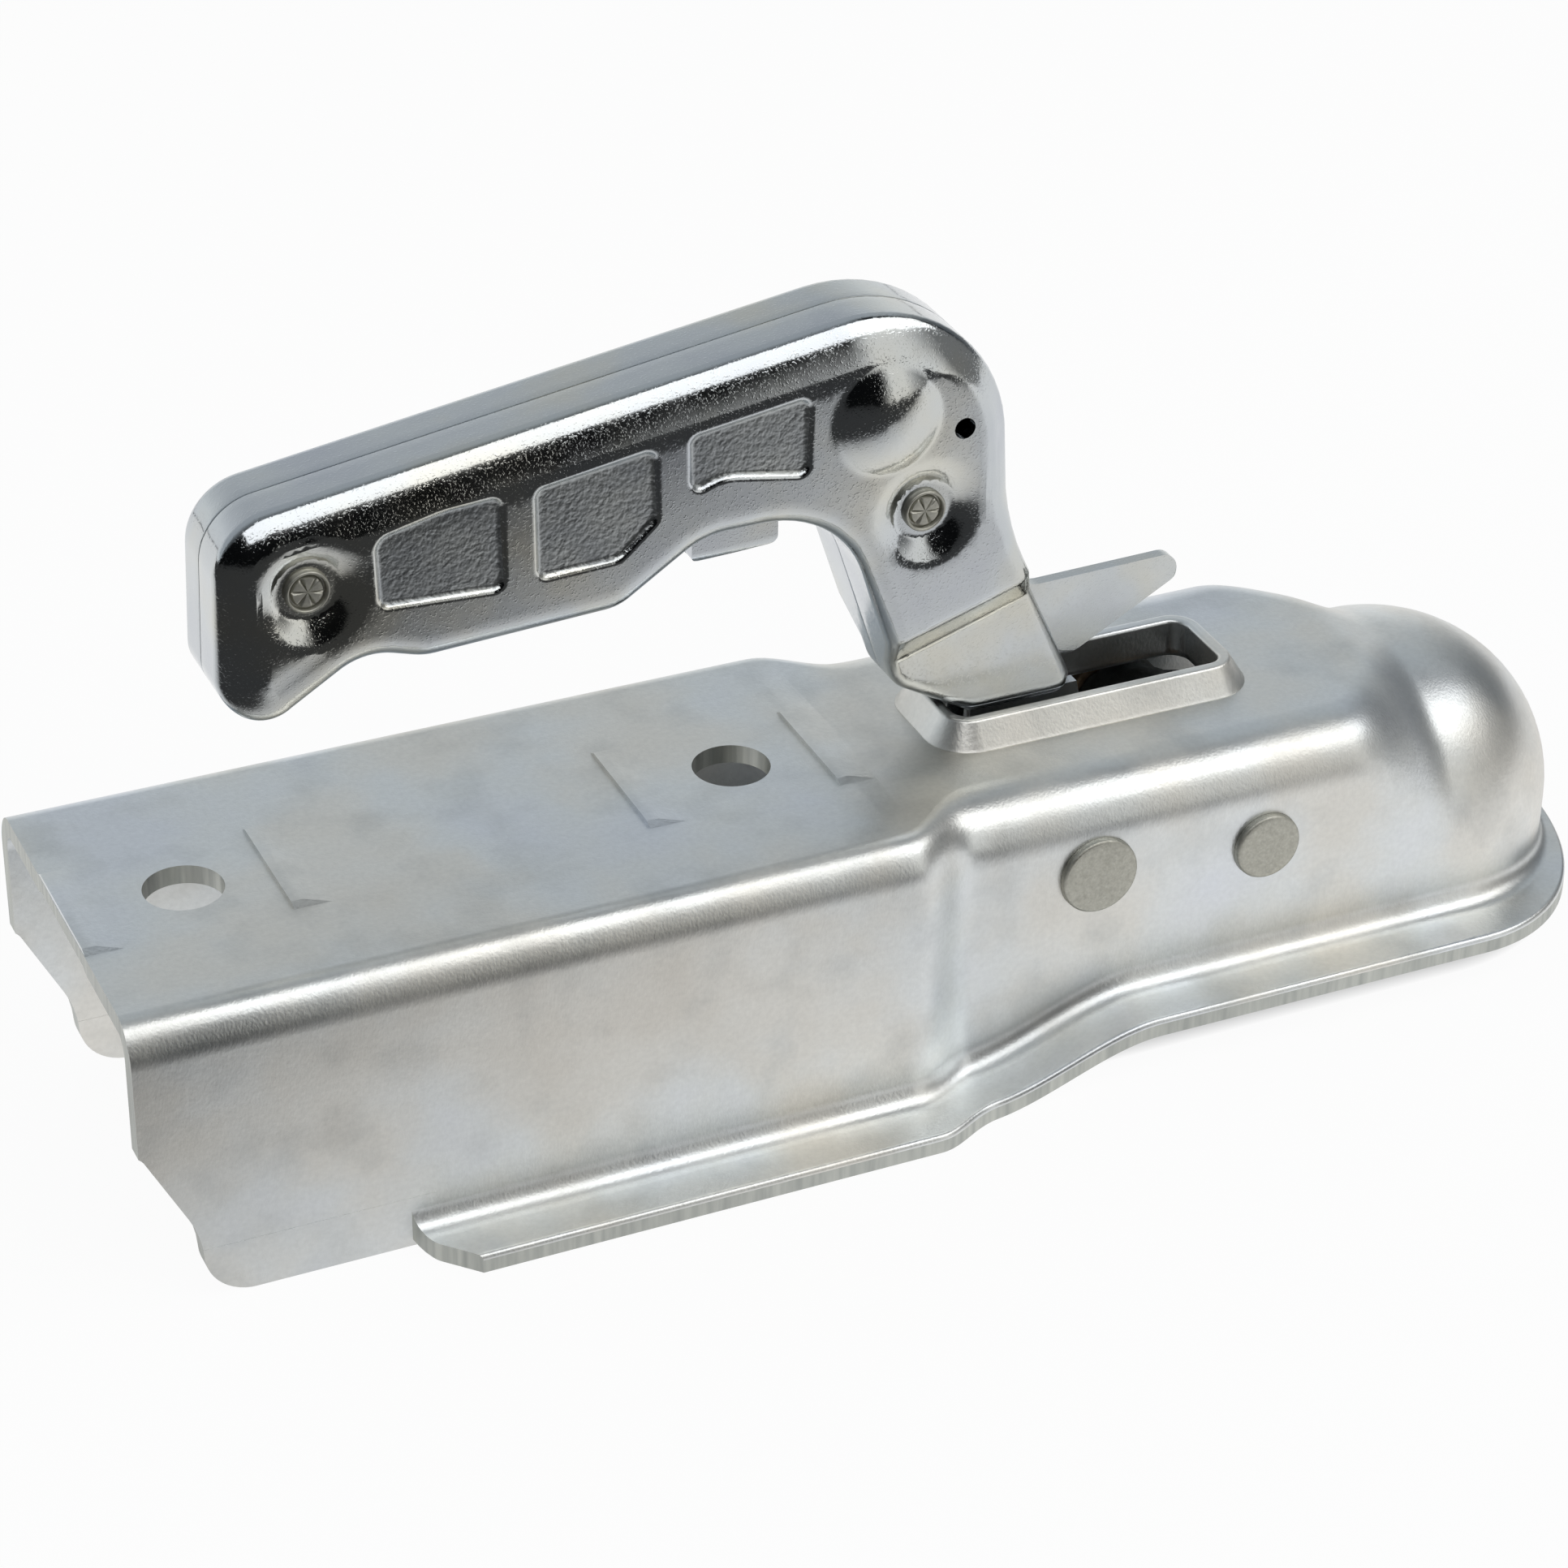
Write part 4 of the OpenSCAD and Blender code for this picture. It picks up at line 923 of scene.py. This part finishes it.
class COUPLING_OT_rivets(bpy.types.Operator):
    """Peen the lever's rivets on both sides"""
    bl_idname = "coupling.rivets"
    bl_label = "Lever rivets"

    def execute(self, context):
        sizes = in_millimetres(context.scene.coupling_lever)
        floor = sizes.grip_half - sizes.dish_depth
        for name, node, spot in (
                ("rear", "handle_rivet_rear", RIVETS[0]), ("front", "handle_rivet_front", RIVETS[1])):
            points, faces = rivet_head()
            source = merged(mesh_of("head", points, faces, ["bare"]))
            x, z = spot[0] + PIVOT[0], spot[1] + PIVOT[1]
            heads = repeated("rivet_heads_" + name, source, [
                ((x, -floor, z), (0, 0, 0)), ((x, floor, z), (0, 0, math.pi))], "bare")
            shaded(heads, math.radians(50))
            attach(heads, "lever")
            shank = cad_copy(node, "rivet_shank_" + name, "bare")
            shaded(trimmed(shank, [
                ((0, side * (floor - 0.2) * MM, 0), (0, side, 0)) for side in (1, -1)]))
            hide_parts(node)
            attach(shank, "lever")
        return {"FINISHED"}


class COUPLING_OT_pins(bpy.types.Operator):
    """Turn the two cross pins, with sheared ends"""
    bl_idname = "coupling.pins"
    bl_label = "Cross pins"

    def execute(self, context):
        reach = 31.0
        for name, node, radius, (x, z) in (
                ("lever_cross_pin", "lever_pin", 6.6, PIVOT), ("jaw_cross_pin", "jaw_pin", 5.75, JAW_AT)):
            ends = [(0.0, reach), (0.5, reach - 0.02), (1.0, reach), (1.6, reach + 0.02),
                    (radius * 0.5, reach - 0.02), (radius * 0.8, reach - 0.04), (radius - 0.5, reach - 0.08),
                    (radius - 0.2, reach - 0.2), (radius - 0.04, reach - 0.45), (radius, reach - 0.8)]
            profile = [(r, y) for r, y in ends] + [(r, -y) for r, y in reversed(ends)]
            points, faces = lathe(profile, 72)
            placed = [(px + x, py, pz + z) for px, py, pz in points]
            pin = shaded(merged(mesh_of(name, placed, faces, ["bare"])), math.radians(40))
            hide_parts(node)
            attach(pin, "head")
        return {"FINISHED"}


class COUPLING_OT_catch(bpy.types.Operator):
    """Ease the stamped catch's edges and plate it"""
    bl_idname = "coupling.catch"
    bl_label = "Safety catch"

    def execute(self, context):
        catch = cad_copy("safety_catch", "squeeze_catch", "lever")
        shaded(eased(catch, 0.25, 2, 45))
        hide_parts("safety_catch")
        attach(catch, "catch")
        return {"FINISHED"}


class COUPLING_OT_castings(bpy.types.Operator):
    """Round the cast jaw and the locking cam, and finish the sleeves and washers"""
    bl_idname = "coupling.castings"
    bl_label = "Jaw, cam and sleeves"

    def execute(self, context):
        for node, name, body, width in (
                ("ball_jaw", "cast_jaw", "jaw", 0.5), ("locking_cam", "cam_plate", "lever", 0.4)):
            piece = cad_copy(node, name, "cast")
            shaded(eased(piece, width, 2, 40))
            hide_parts(node)
            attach(piece, body)
        for node, coat in (
                ("cam_rivet", "bare"), ("rear_rivet_sleeve", "bare"), ("catch_washer_right", "bare"),
                ("catch_washer_left", "bare"), ("lever_sleeve_right", "cast"), ("lever_sleeve_left", "cast"),
                ("jaw_sleeve_right", "cast"), ("jaw_sleeve_left", "cast")):
            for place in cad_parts[node].material_slots:
                place.material = finish(coat)
        return {"FINISHED"}


def coil_points(radius, y0, y1, start, sweep, lead, tail, steps, gap=0.0):
    """Path of a torsion spring about Y, with straight ends; a gap widens the pitch in its middle."""
    def at(a):
        return np.array([math.cos(a), 0, math.sin(a)])

    def along(a):
        return np.array([-math.sin(a), 0, math.cos(a)])

    a0, s = math.radians(start), math.radians(sweep)
    widening, widening_sweep = math.radians(440), math.radians(300)
    path = [radius * at(a0) + [0, y0, 0] - lead * along(a0)]
    for i in range(steps + 1):
        a = a0 + s * i / steps
        opened = gap * smooth((s * i / steps - widening) / widening_sweep)
        path.append(radius * at(a) + [0, y0 + (y1 - y0 - gap) * i / steps + opened, 0])
    path.append(radius * at(a0 + s) + [0, y1, 0] + tail * along(a0 + s))
    return path


def spring_bow(start):
    """Free leg of the jaw's spring: up from the coil and forwards in a bow under the roof."""
    corners = [Vector(start)] + [Vector(p) for p in (
        (-46.9, 7.4, 12.4), (-49.3, 10.2, 12.6), (-50.6, 13.6, 15.2), (-49.9, 16.4, 19.0),
        (-47.2, 17.5, 22.2), (-44.2, 17.5, 24.0), (-40.6, 17.5, 25.6), (-36.5, 17.5, 26.3),
        (-32.8, 17.5, 26.3), (-29.4, 17.5, 25.9), (-26.7, 17.5, 24.8), (-24.9, 17.5, 23.4),
        (-22.1, 17.5, 21.0))]
    ends = [corners[0] * 2 - corners[1]] + corners + [corners[-1] * 2 - corners[-2]]
    points = []
    for a, b, c, d in zip(ends, ends[1:], ends[2:], ends[3:]):
        for i in range(1, 7):
            t = i / 6
            points.append(tuple(0.5 * (2 * b + (c - a) * t + (2 * a - 5 * b + 4 * c - d) * t * t
                                       + (3 * b - a - 3 * c + d) * t ** 3)))
    return points


def wire_along(name, path, radius, finish_name):
    """A wire along a path, by a node tree that sweeps a circle, turned into one plain mesh."""
    tree = bpy.data.node_groups.new(name, "GeometryNodeTree")
    tree.is_modifier = True
    tree.interface.new_socket("Path", in_out="INPUT", socket_type="NodeSocketGeometry")
    tree.interface.new_socket("Wire radius", in_out="INPUT", socket_type="NodeSocketFloat")
    tree.interface.new_socket("Finish", in_out="INPUT", socket_type="NodeSocketMaterial")
    tree.interface.new_socket("Result", in_out="OUTPUT", socket_type="NodeSocketGeometry")
    entry = add_node(tree, "NodeGroupInput")
    line = add_node(tree, "GeometryNodeMeshToCurve", {"Mesh": entry.outputs["Path"]})
    ring = add_node(tree, "GeometryNodeCurvePrimitiveCircle", {
        "Resolution": 16, "Radius": entry.outputs["Wire radius"]})
    tube = add_node(tree, "GeometryNodeCurveToMesh", {
        "Curve": line.outputs[0], "Profile Curve": ring.outputs[0], "Fill Caps": True})
    real = add_node(tree, "GeometryNodeRealizeInstances", {"Geometry": tube.outputs[0]})
    coat = add_node(tree, "GeometryNodeSetMaterial", {
        "Geometry": real.outputs[0], "Material": entry.outputs["Finish"]})
    add_node(tree, "NodeGroupOutput", {"Result": coat.outputs[0]})
    mesh = bpy.data.meshes.new(name)
    mesh.from_pydata([tuple(float(c) * MM for c in p) for p in path],
                     [(i, i + 1) for i in range(len(path) - 1)], [])
    thing = link(name, mesh)
    change = thing.modifiers.new("wire", "NODES")
    change.node_group = tree
    sockets = {s.name: s.identifier for s in tree.interface.items_tree if s.in_out == "INPUT"}
    change[sockets["Wire radius"]] = radius * MM
    change[sockets["Finish"]] = finish(finish_name)
    settle(thing)
    return shaded(merged(thing, 0.001), math.radians(60))


class COUPLING_OT_springs(bpy.types.Operator):
    """Wind the three torsion springs from round wire"""
    bl_idname = "coupling.springs"
    bl_label = "Torsion springs"

    def execute(self, context):
        for node, body, centre, radius, y0, y1, start, sweep, lead, tail, wire in (
                ("jaw_spring", "head", JAW_AT, 8.15, -6.2, 6.2, 90, 1170, 17, 9, 1.2),
                ("lever_spring", "head", PIVOT, 9.4, 6.3, 18, 0, -1350, 9, 18, 1.1),
                ("catch_spring", "lever", (RIVETS[1][0] + PIVOT[0], RIVETS[1][1] + PIVOT[1]), 5.8, 1.9, 5.6,
                 90, 1100, 9, 7, 0.6)):
            gap = 2.92 if node == "jaw_spring" else 0.0
            path = coil_points(radius, y0, y1, start, sweep, lead, tail, abs(sweep) // 8, gap)
            path = [(p[0] + centre[0], p[1], p[2] + centre[1]) for p in path]
            if node == "jaw_spring":
                path = path[:-1] + spring_bow(path[-2])
            spring = wire_along("wound_" + node, path, wire, "wire")
            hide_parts(node)
            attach(spring, body)
        return {"FINISHED"}


# Studio

CAMERA_AT = (-0.35912, -0.54334, 0.39309)
CAMERA_TURN = math.radians(-24.65)
CAMERA_TILT = math.radians(31.56)
CAMERA_ROLL = math.radians(0.8)


def camera_matrix():
    """Where the camera stands and how it is turned."""
    a, e, r = CAMERA_TURN, CAMERA_TILT, CAMERA_ROLL
    ahead = Vector((-math.sin(a) * math.cos(e), math.cos(a) * math.cos(e), -math.sin(e)))
    right = Vector((math.cos(a), math.sin(a), 0))
    up = right.cross(ahead)
    right2 = math.cos(r) * right + math.sin(r) * up
    up2 = -math.sin(r) * right + math.cos(r) * up
    turn = Matrix((right2, up2, -ahead)).transposed().to_4x4()
    return Matrix.Translation(CAMERA_AT) @ turn


def soft_lamp(name, at, aim, size, power, colour="#FFFFFF"):
    """A large rectangular softbox that points at a spot."""
    data = bpy.data.lights.new(name, "AREA")
    data.shape = "RECTANGLE"
    data.size, data.size_y = size
    data.energy = power
    data.color = linear(colour)[:3]
    lamp = bpy.data.objects.new(name, data)
    bpy.context.scene.collection.objects.link(lamp)
    lamp.location = at
    lamp.rotation_euler = (Vector(aim) - Vector(at)).to_track_quat("-Z", "Y").to_euler()
    return lamp


class COUPLING_OT_stage(bpy.types.Operator):
    """Set the pale floor, the soft lamps and the camera"""
    bl_idname = "coupling.stage"
    bl_label = "Studio"

    def execute(self, context):
        scene = context.scene
        look = scene.coupling_studio
        data = bpy.data.cameras.new("photo_camera")
        data.lens = look.lens
        data.sensor_width = 36
        data.clip_end = 50
        camera = bpy.data.objects.new("photo_camera", data)
        scene.collection.objects.link(camera)
        camera.matrix_world = camera_matrix()
        scene.camera = camera
        # Pale floor, white away from the part, with a painted shadow under it and a painted darker reflection
        # towards the front
        low = cad_box[0][2]
        floor = link("pale_floor", bpy.data.meshes.new("pale_floor"))
        s = 4.0
        floor.data.from_pydata([(-s, -s, low), (s, -s, low), (s, s, low), (-s, s, low)], [], [(0, 1, 2, 3)])
        material = bpy.data.materials.new("pale_floor")
        material.use_nodes = True
        tree = material.node_tree
        tree.nodes.clear()
        paper = add_node(tree, "ShaderNodeBsdfDiffuse", {"Color": linear("#F4F4F4")})
        glow = add_node(tree, "ShaderNodeEmission", {"Color": linear("#FFFFFF"), "Strength": 1.0})
        path = add_node(tree, "ShaderNodeLightPath")
        place = add_node(tree, "ShaderNodeTexCoord")
        axes = add_node(tree, "ShaderNodeSeparateXYZ", {0: place.outputs["Object"]})
        # Painted reflection: glossy rays see the floor's glow fade from white to near black towards the front and
        # towards the rear end, which darkens the metal's reflections there
        slope = add_node(tree, "ShaderNodeMath", {
            0: axes.outputs["Y"], 1: 1.6, 2: axes.outputs["X"]}, operation="MULTIPLY_ADD")
        painted_reflection_fade = ramp(tree, spread(tree, slope.outputs[0], 0.0, 1.0, -0.46, -0.16), [
            (place, (grey, grey, grey, 1)) for place, grey in (
                (0.03, 0.02), (0.13, 0.06), (0.23, 0.22), (0.33, 0.42), (0.45, 0.6), (0.63, 0.76),
                (0.8, 0.87), (1.0, 1.0))])
        tone = mixed(tree, path.outputs["Is Glossy Ray"], linear("#FFFFFF"), painted_reflection_fade)
        # Painted shadow: the floor's glow is mixed to dark blue-grey under the part's footprint and fades out
        # towards the rear end; camera, glossy and transmission rays all see it
        ahead = add_node(tree, "ShaderNodeMath", {0: axes.outputs["X"], 1: 0.0}, operation="MAXIMUM")
        away = add_node(tree, "ShaderNodeCombineXYZ", {"X": ahead.outputs[0], "Y": axes.outputs["Y"]})
        away = add_node(tree, "ShaderNodeVectorMath", {0: away.outputs[0]}, operation="LENGTH")
        under = add_node(tree, "ShaderNodeMath", {
            0: spread(tree, away.outputs["Value"], 0.95, 0.0, 0.025, 0.033),
            1: spread(tree, axes.outputs["X"], 0.0, 1.0, -0.19, -0.13)}, operation="MULTIPLY")
        tree.links.new(mixed(tree, under.outputs[0], tone, linear("#1C2224")), glow.inputs["Color"])
        seen = add_node(tree, "ShaderNodeMath", {
            0: path.outputs["Is Camera Ray"], 1: path.outputs["Is Glossy Ray"]}, operation="MAXIMUM")
        seen = add_node(tree, "ShaderNodeMath", {
            0: seen.outputs[0], 1: path.outputs["Is Transmission Ray"]}, operation="MAXIMUM")
        share = add_node(tree, "ShaderNodeMath", {
            0: seen.outputs[0], 1: look.floor_white}, operation="MULTIPLY")
        both = add_node(tree, "ShaderNodeMixShader", {
            0: share.outputs[0], 1: paper.outputs[0], 2: glow.outputs[0]})
        add_node(tree, "ShaderNodeOutputMaterial", {"Surface": both.outputs[0]})
        floor.data.materials.append(material)
        # Room as bands round the long axis: dark in front, grey overhead and behind
        world = bpy.data.worlds.new("studio")
        scene.world = world
        world.use_nodes = True
        tree = world.node_tree
        tree.nodes.clear()
        place = add_node(tree, "ShaderNodeTexCoord")
        axes = add_node(tree, "ShaderNodeSeparateXYZ", {0: place.outputs["Generated"]})
        ahead = add_node(tree, "ShaderNodeMath", {0: axes.outputs["Y"], 1: -1.0}, operation="MULTIPLY")
        angle = add_node(tree, "ShaderNodeMath", {
            0: axes.outputs["Z"], 1: ahead.outputs[0]}, operation="ARCTAN2")
        band = spread(tree, angle.outputs[0], 0.0, 1.0, -math.pi, math.pi)
        left = ramp(tree, band, [
            (0.0, linear("#6E7072")), (0.40, linear("#0C0D0E")), (0.62, linear("#0C0D0E")),
            (0.72, linear("#83888B")), (0.79, linear("#B4BBC0")), (0.9, linear("#B7BDC2")),
            (0.96, linear("#EEF2F4")), (1.0, linear("#F2F4F6"))])
        right = ramp(tree, band, [
            (0.0, linear("#9A9C9E")), (0.44, linear("#FBFAF6")), (0.69, linear("#FBFAF6")),
            (0.73, linear("#2A2C2E")), (0.765, linear("#2A2C2E")), (0.80, linear("#B4BBC0")),
            (0.9, linear("#B7BDC2")), (0.96, linear("#EEF2F4")), (1.0, linear("#F2F4F6"))])
        room = mixed(tree, spread(tree, axes.outputs["X"], 0.0, 1.0, 0.24, 0.40), left, right)
        room = mixed(tree, spread(tree, axes.outputs["X"], 0.0, 0.8, 0.62, 0.85), room, linear("#3A3D40"))
        back = add_node(tree, "ShaderNodeBackground", {"Color": room, "Strength": look.room_strength})
        add_node(tree, "ShaderNodeOutputWorld", {"Surface": back.outputs[0]})
        soft_lamp("strip_softbox", (0.2, -0.55, 0.95), (0.0, 0.0, 0.03), (2.4, 0.55), look.strip_power)
        scene.view_settings.view_transform = "Standard"
        return {"FINISHED"}


# Settings

def size(name, description, millimetre_value):
    """A length setting, given in millimetres."""
    return bpy.props.FloatProperty(
        name=name, description=description, default=millimetre_value * MM, unit="LENGTH",
        precision=4, min=0.0)


def colour(name, description, code):
    """A colour setting, given as sRGB hex text."""
    return bpy.props.FloatVectorProperty(
        name=name, description=description, default=linear(code), subtype="COLOR", size=4,
        min=0.0, max=1.0)


class CouplingShell(bpy.types.PropertyGroup):
    """Sizes of the pressed shell"""
    ball_d: size("Ball", "Diameter of the towing ball", 50.0)
    socket_gap: size("Socket play", "Play between ball and dome", 1.5)
    tube_w: size("Drawbar", "Width of the drawbar tube", 60.0)
    tube_gap: size("Drawbar play", "Play beside the tube", 0.9)
    sheet_t: size("Sheet", "Thickness of the sheet", 3.2)
    top_h: size("Top", "Height of the top over the ball", 31.5)
    channel_depth: size("Rear depth", "Depth of the rear channel", 50.3)
    front_depth: size("Front depth", "Depth of the front part", 42.0)
    rear_bend: size("Rear bend", "Rear edge's radius by the top", 4.5)
    rear_bend_side: size("Rear bend, side", "Rear edge's radius by the wall", 8.0)
    front_bend: size("Front bend", "Outer radius of the front edges", 10.0)
    foot_bend: size("Foot bend", "Hollow radius over the flange", 4.0)
    flange_reach: size("Flange", "Reach of the foot flange", 10.6)
    open_len: size("Opening length", "Length of the opening", 47.9)
    open_w: size("Opening width", "Width of the opening", 14.6)
    open_front: size("Opening place", "From ball to opening", 34.8)
    collar_h: size("Collar height", "Height of the collar", 4.4)
    collar_t: size("Collar wall", "Thickness of the collar", 2.3)
    collar_root: size("Collar root", "How far the collar's flank leans out to its foot", 2.4)
    bolt_d: size("Bolt hole", "Diameter of a bolt hole", 12.5)
    bead_w: size("Bead width", "Length of a bead", 24.5)
    bead_run: size("Bead run", "Run of a bead", 5.3)
    bead_h: size("Bead height", "Height of a bead's step", 0.7)


class CouplingLever(bpy.types.PropertyGroup):
    """Sizes of the hand lever"""
    grip_half: size("Grip", "Half width of the grip", 11.0)
    arm_half: size("Arm", "Half width of the arm", 5.9)
    rim_tight: size("Rim", "Radius where wall turns to rim", 2.2)
    rim_slow: size("Crown", "Radius where the upper rim runs to the face", 12.0)
    rim_low: size("Lower rim", "Radius where the lower rim runs to the face", 3.6)
    sheet_t: size("Sheet", "Thickness of the sheet", 2.0)
    seam_gap: size("Seam", "Gap at the seam", 0.06)
    boss_h: size("Boss", "Height of the round boss", 2.4)
    dish_depth: size("Dish", "Depth round each rivet", 2.0)
    panel_depth: size("Panel", "Depth of the panels", 0.7)


class CouplingFinish(bpy.types.PropertyGroup):
    """Colours of the finishes"""
    zinc_cool: colour("Cool zinc", "Cooler tint of the shell", "#E0E3E3")
    zinc_warm: colour("Warm zinc", "Warmer tint of the shell", "#E4E3DE")
    lever_zinc: colour("Lever zinc", "Tint of the lever", "#C4C8CA")
    bare_steel: colour("Bare steel", "Tint of pins and rivets", "#BBBAB0")
    spring_brown: colour("Spring", "Tint of the wire", "#94826E")


class CouplingStudio(bpy.types.PropertyGroup):
    """Camera and light"""
    lens: bpy.props.FloatProperty(
        name="Lens", description="Focal length in millimetres", default=101.2, min=20.0, max=300.0)
    floor_white: bpy.props.FloatProperty(
        name="Floor white", description="Share of plain white floor", default=0.95,
        subtype="FACTOR", min=0.0, max=1.0)
    room_strength: bpy.props.FloatProperty(
        name="Room", description="Strength of the room's light", default=1.0, min=0.0, max=10.0)
    strip_power: bpy.props.FloatProperty(
        name="Strip", description="Strip softbox", default=7.0, unit="POWER")


class COUPLING_PT_panel(bpy.types.Panel):
    """Lists the pieces of the coupling head"""
    bl_idname = "COUPLING_PT_panel"
    bl_label = "Coupling head"
    bl_space_type = "VIEW_3D"
    bl_region_type = "UI"
    bl_category = "Coupling"

    def draw(self, context):
        for operator in OPERATORS:
            self.layout.operator(operator.bl_idname)
        for group in ("coupling_shell", "coupling_lever", "coupling_finish", "coupling_studio"):
            box = self.layout.box()
            settings = getattr(context.scene, group)
            for key in settings.__annotations__:
                box.prop(settings, key)


OPERATORS = (COUPLING_OT_stage, COUPLING_OT_shell, COUPLING_OT_lever, COUPLING_OT_rivets, COUPLING_OT_pins,
             COUPLING_OT_catch, COUPLING_OT_castings, COUPLING_OT_springs)
GROUPS = {"coupling_shell": CouplingShell, "coupling_lever": CouplingLever,
          "coupling_finish": CouplingFinish, "coupling_studio": CouplingStudio}


def register():
    """Register the settings, the operators and the panel."""
    for name, group in GROUPS.items():
        bpy.utils.register_class(group)
        setattr(bpy.types.Scene, name, bpy.props.PointerProperty(type=group))
    for item in OPERATORS + (COUPLING_PT_panel,):
        bpy.utils.register_class(item)


def unregister():
    """Remove what register added."""
    for item in (COUPLING_PT_panel,) + OPERATORS[::-1]:
        bpy.utils.unregister_class(item)
    for name, group in GROUPS.items():
        delattr(bpy.types.Scene, name)
        bpy.utils.unregister_class(group)


def main():
    """Build every piece in order."""
    register()
    for operator in OPERATORS:
        group, name = operator.bl_idname.split(".")
        getattr(getattr(bpy.ops, group), name)()


if __name__ == "__main__":
    main()
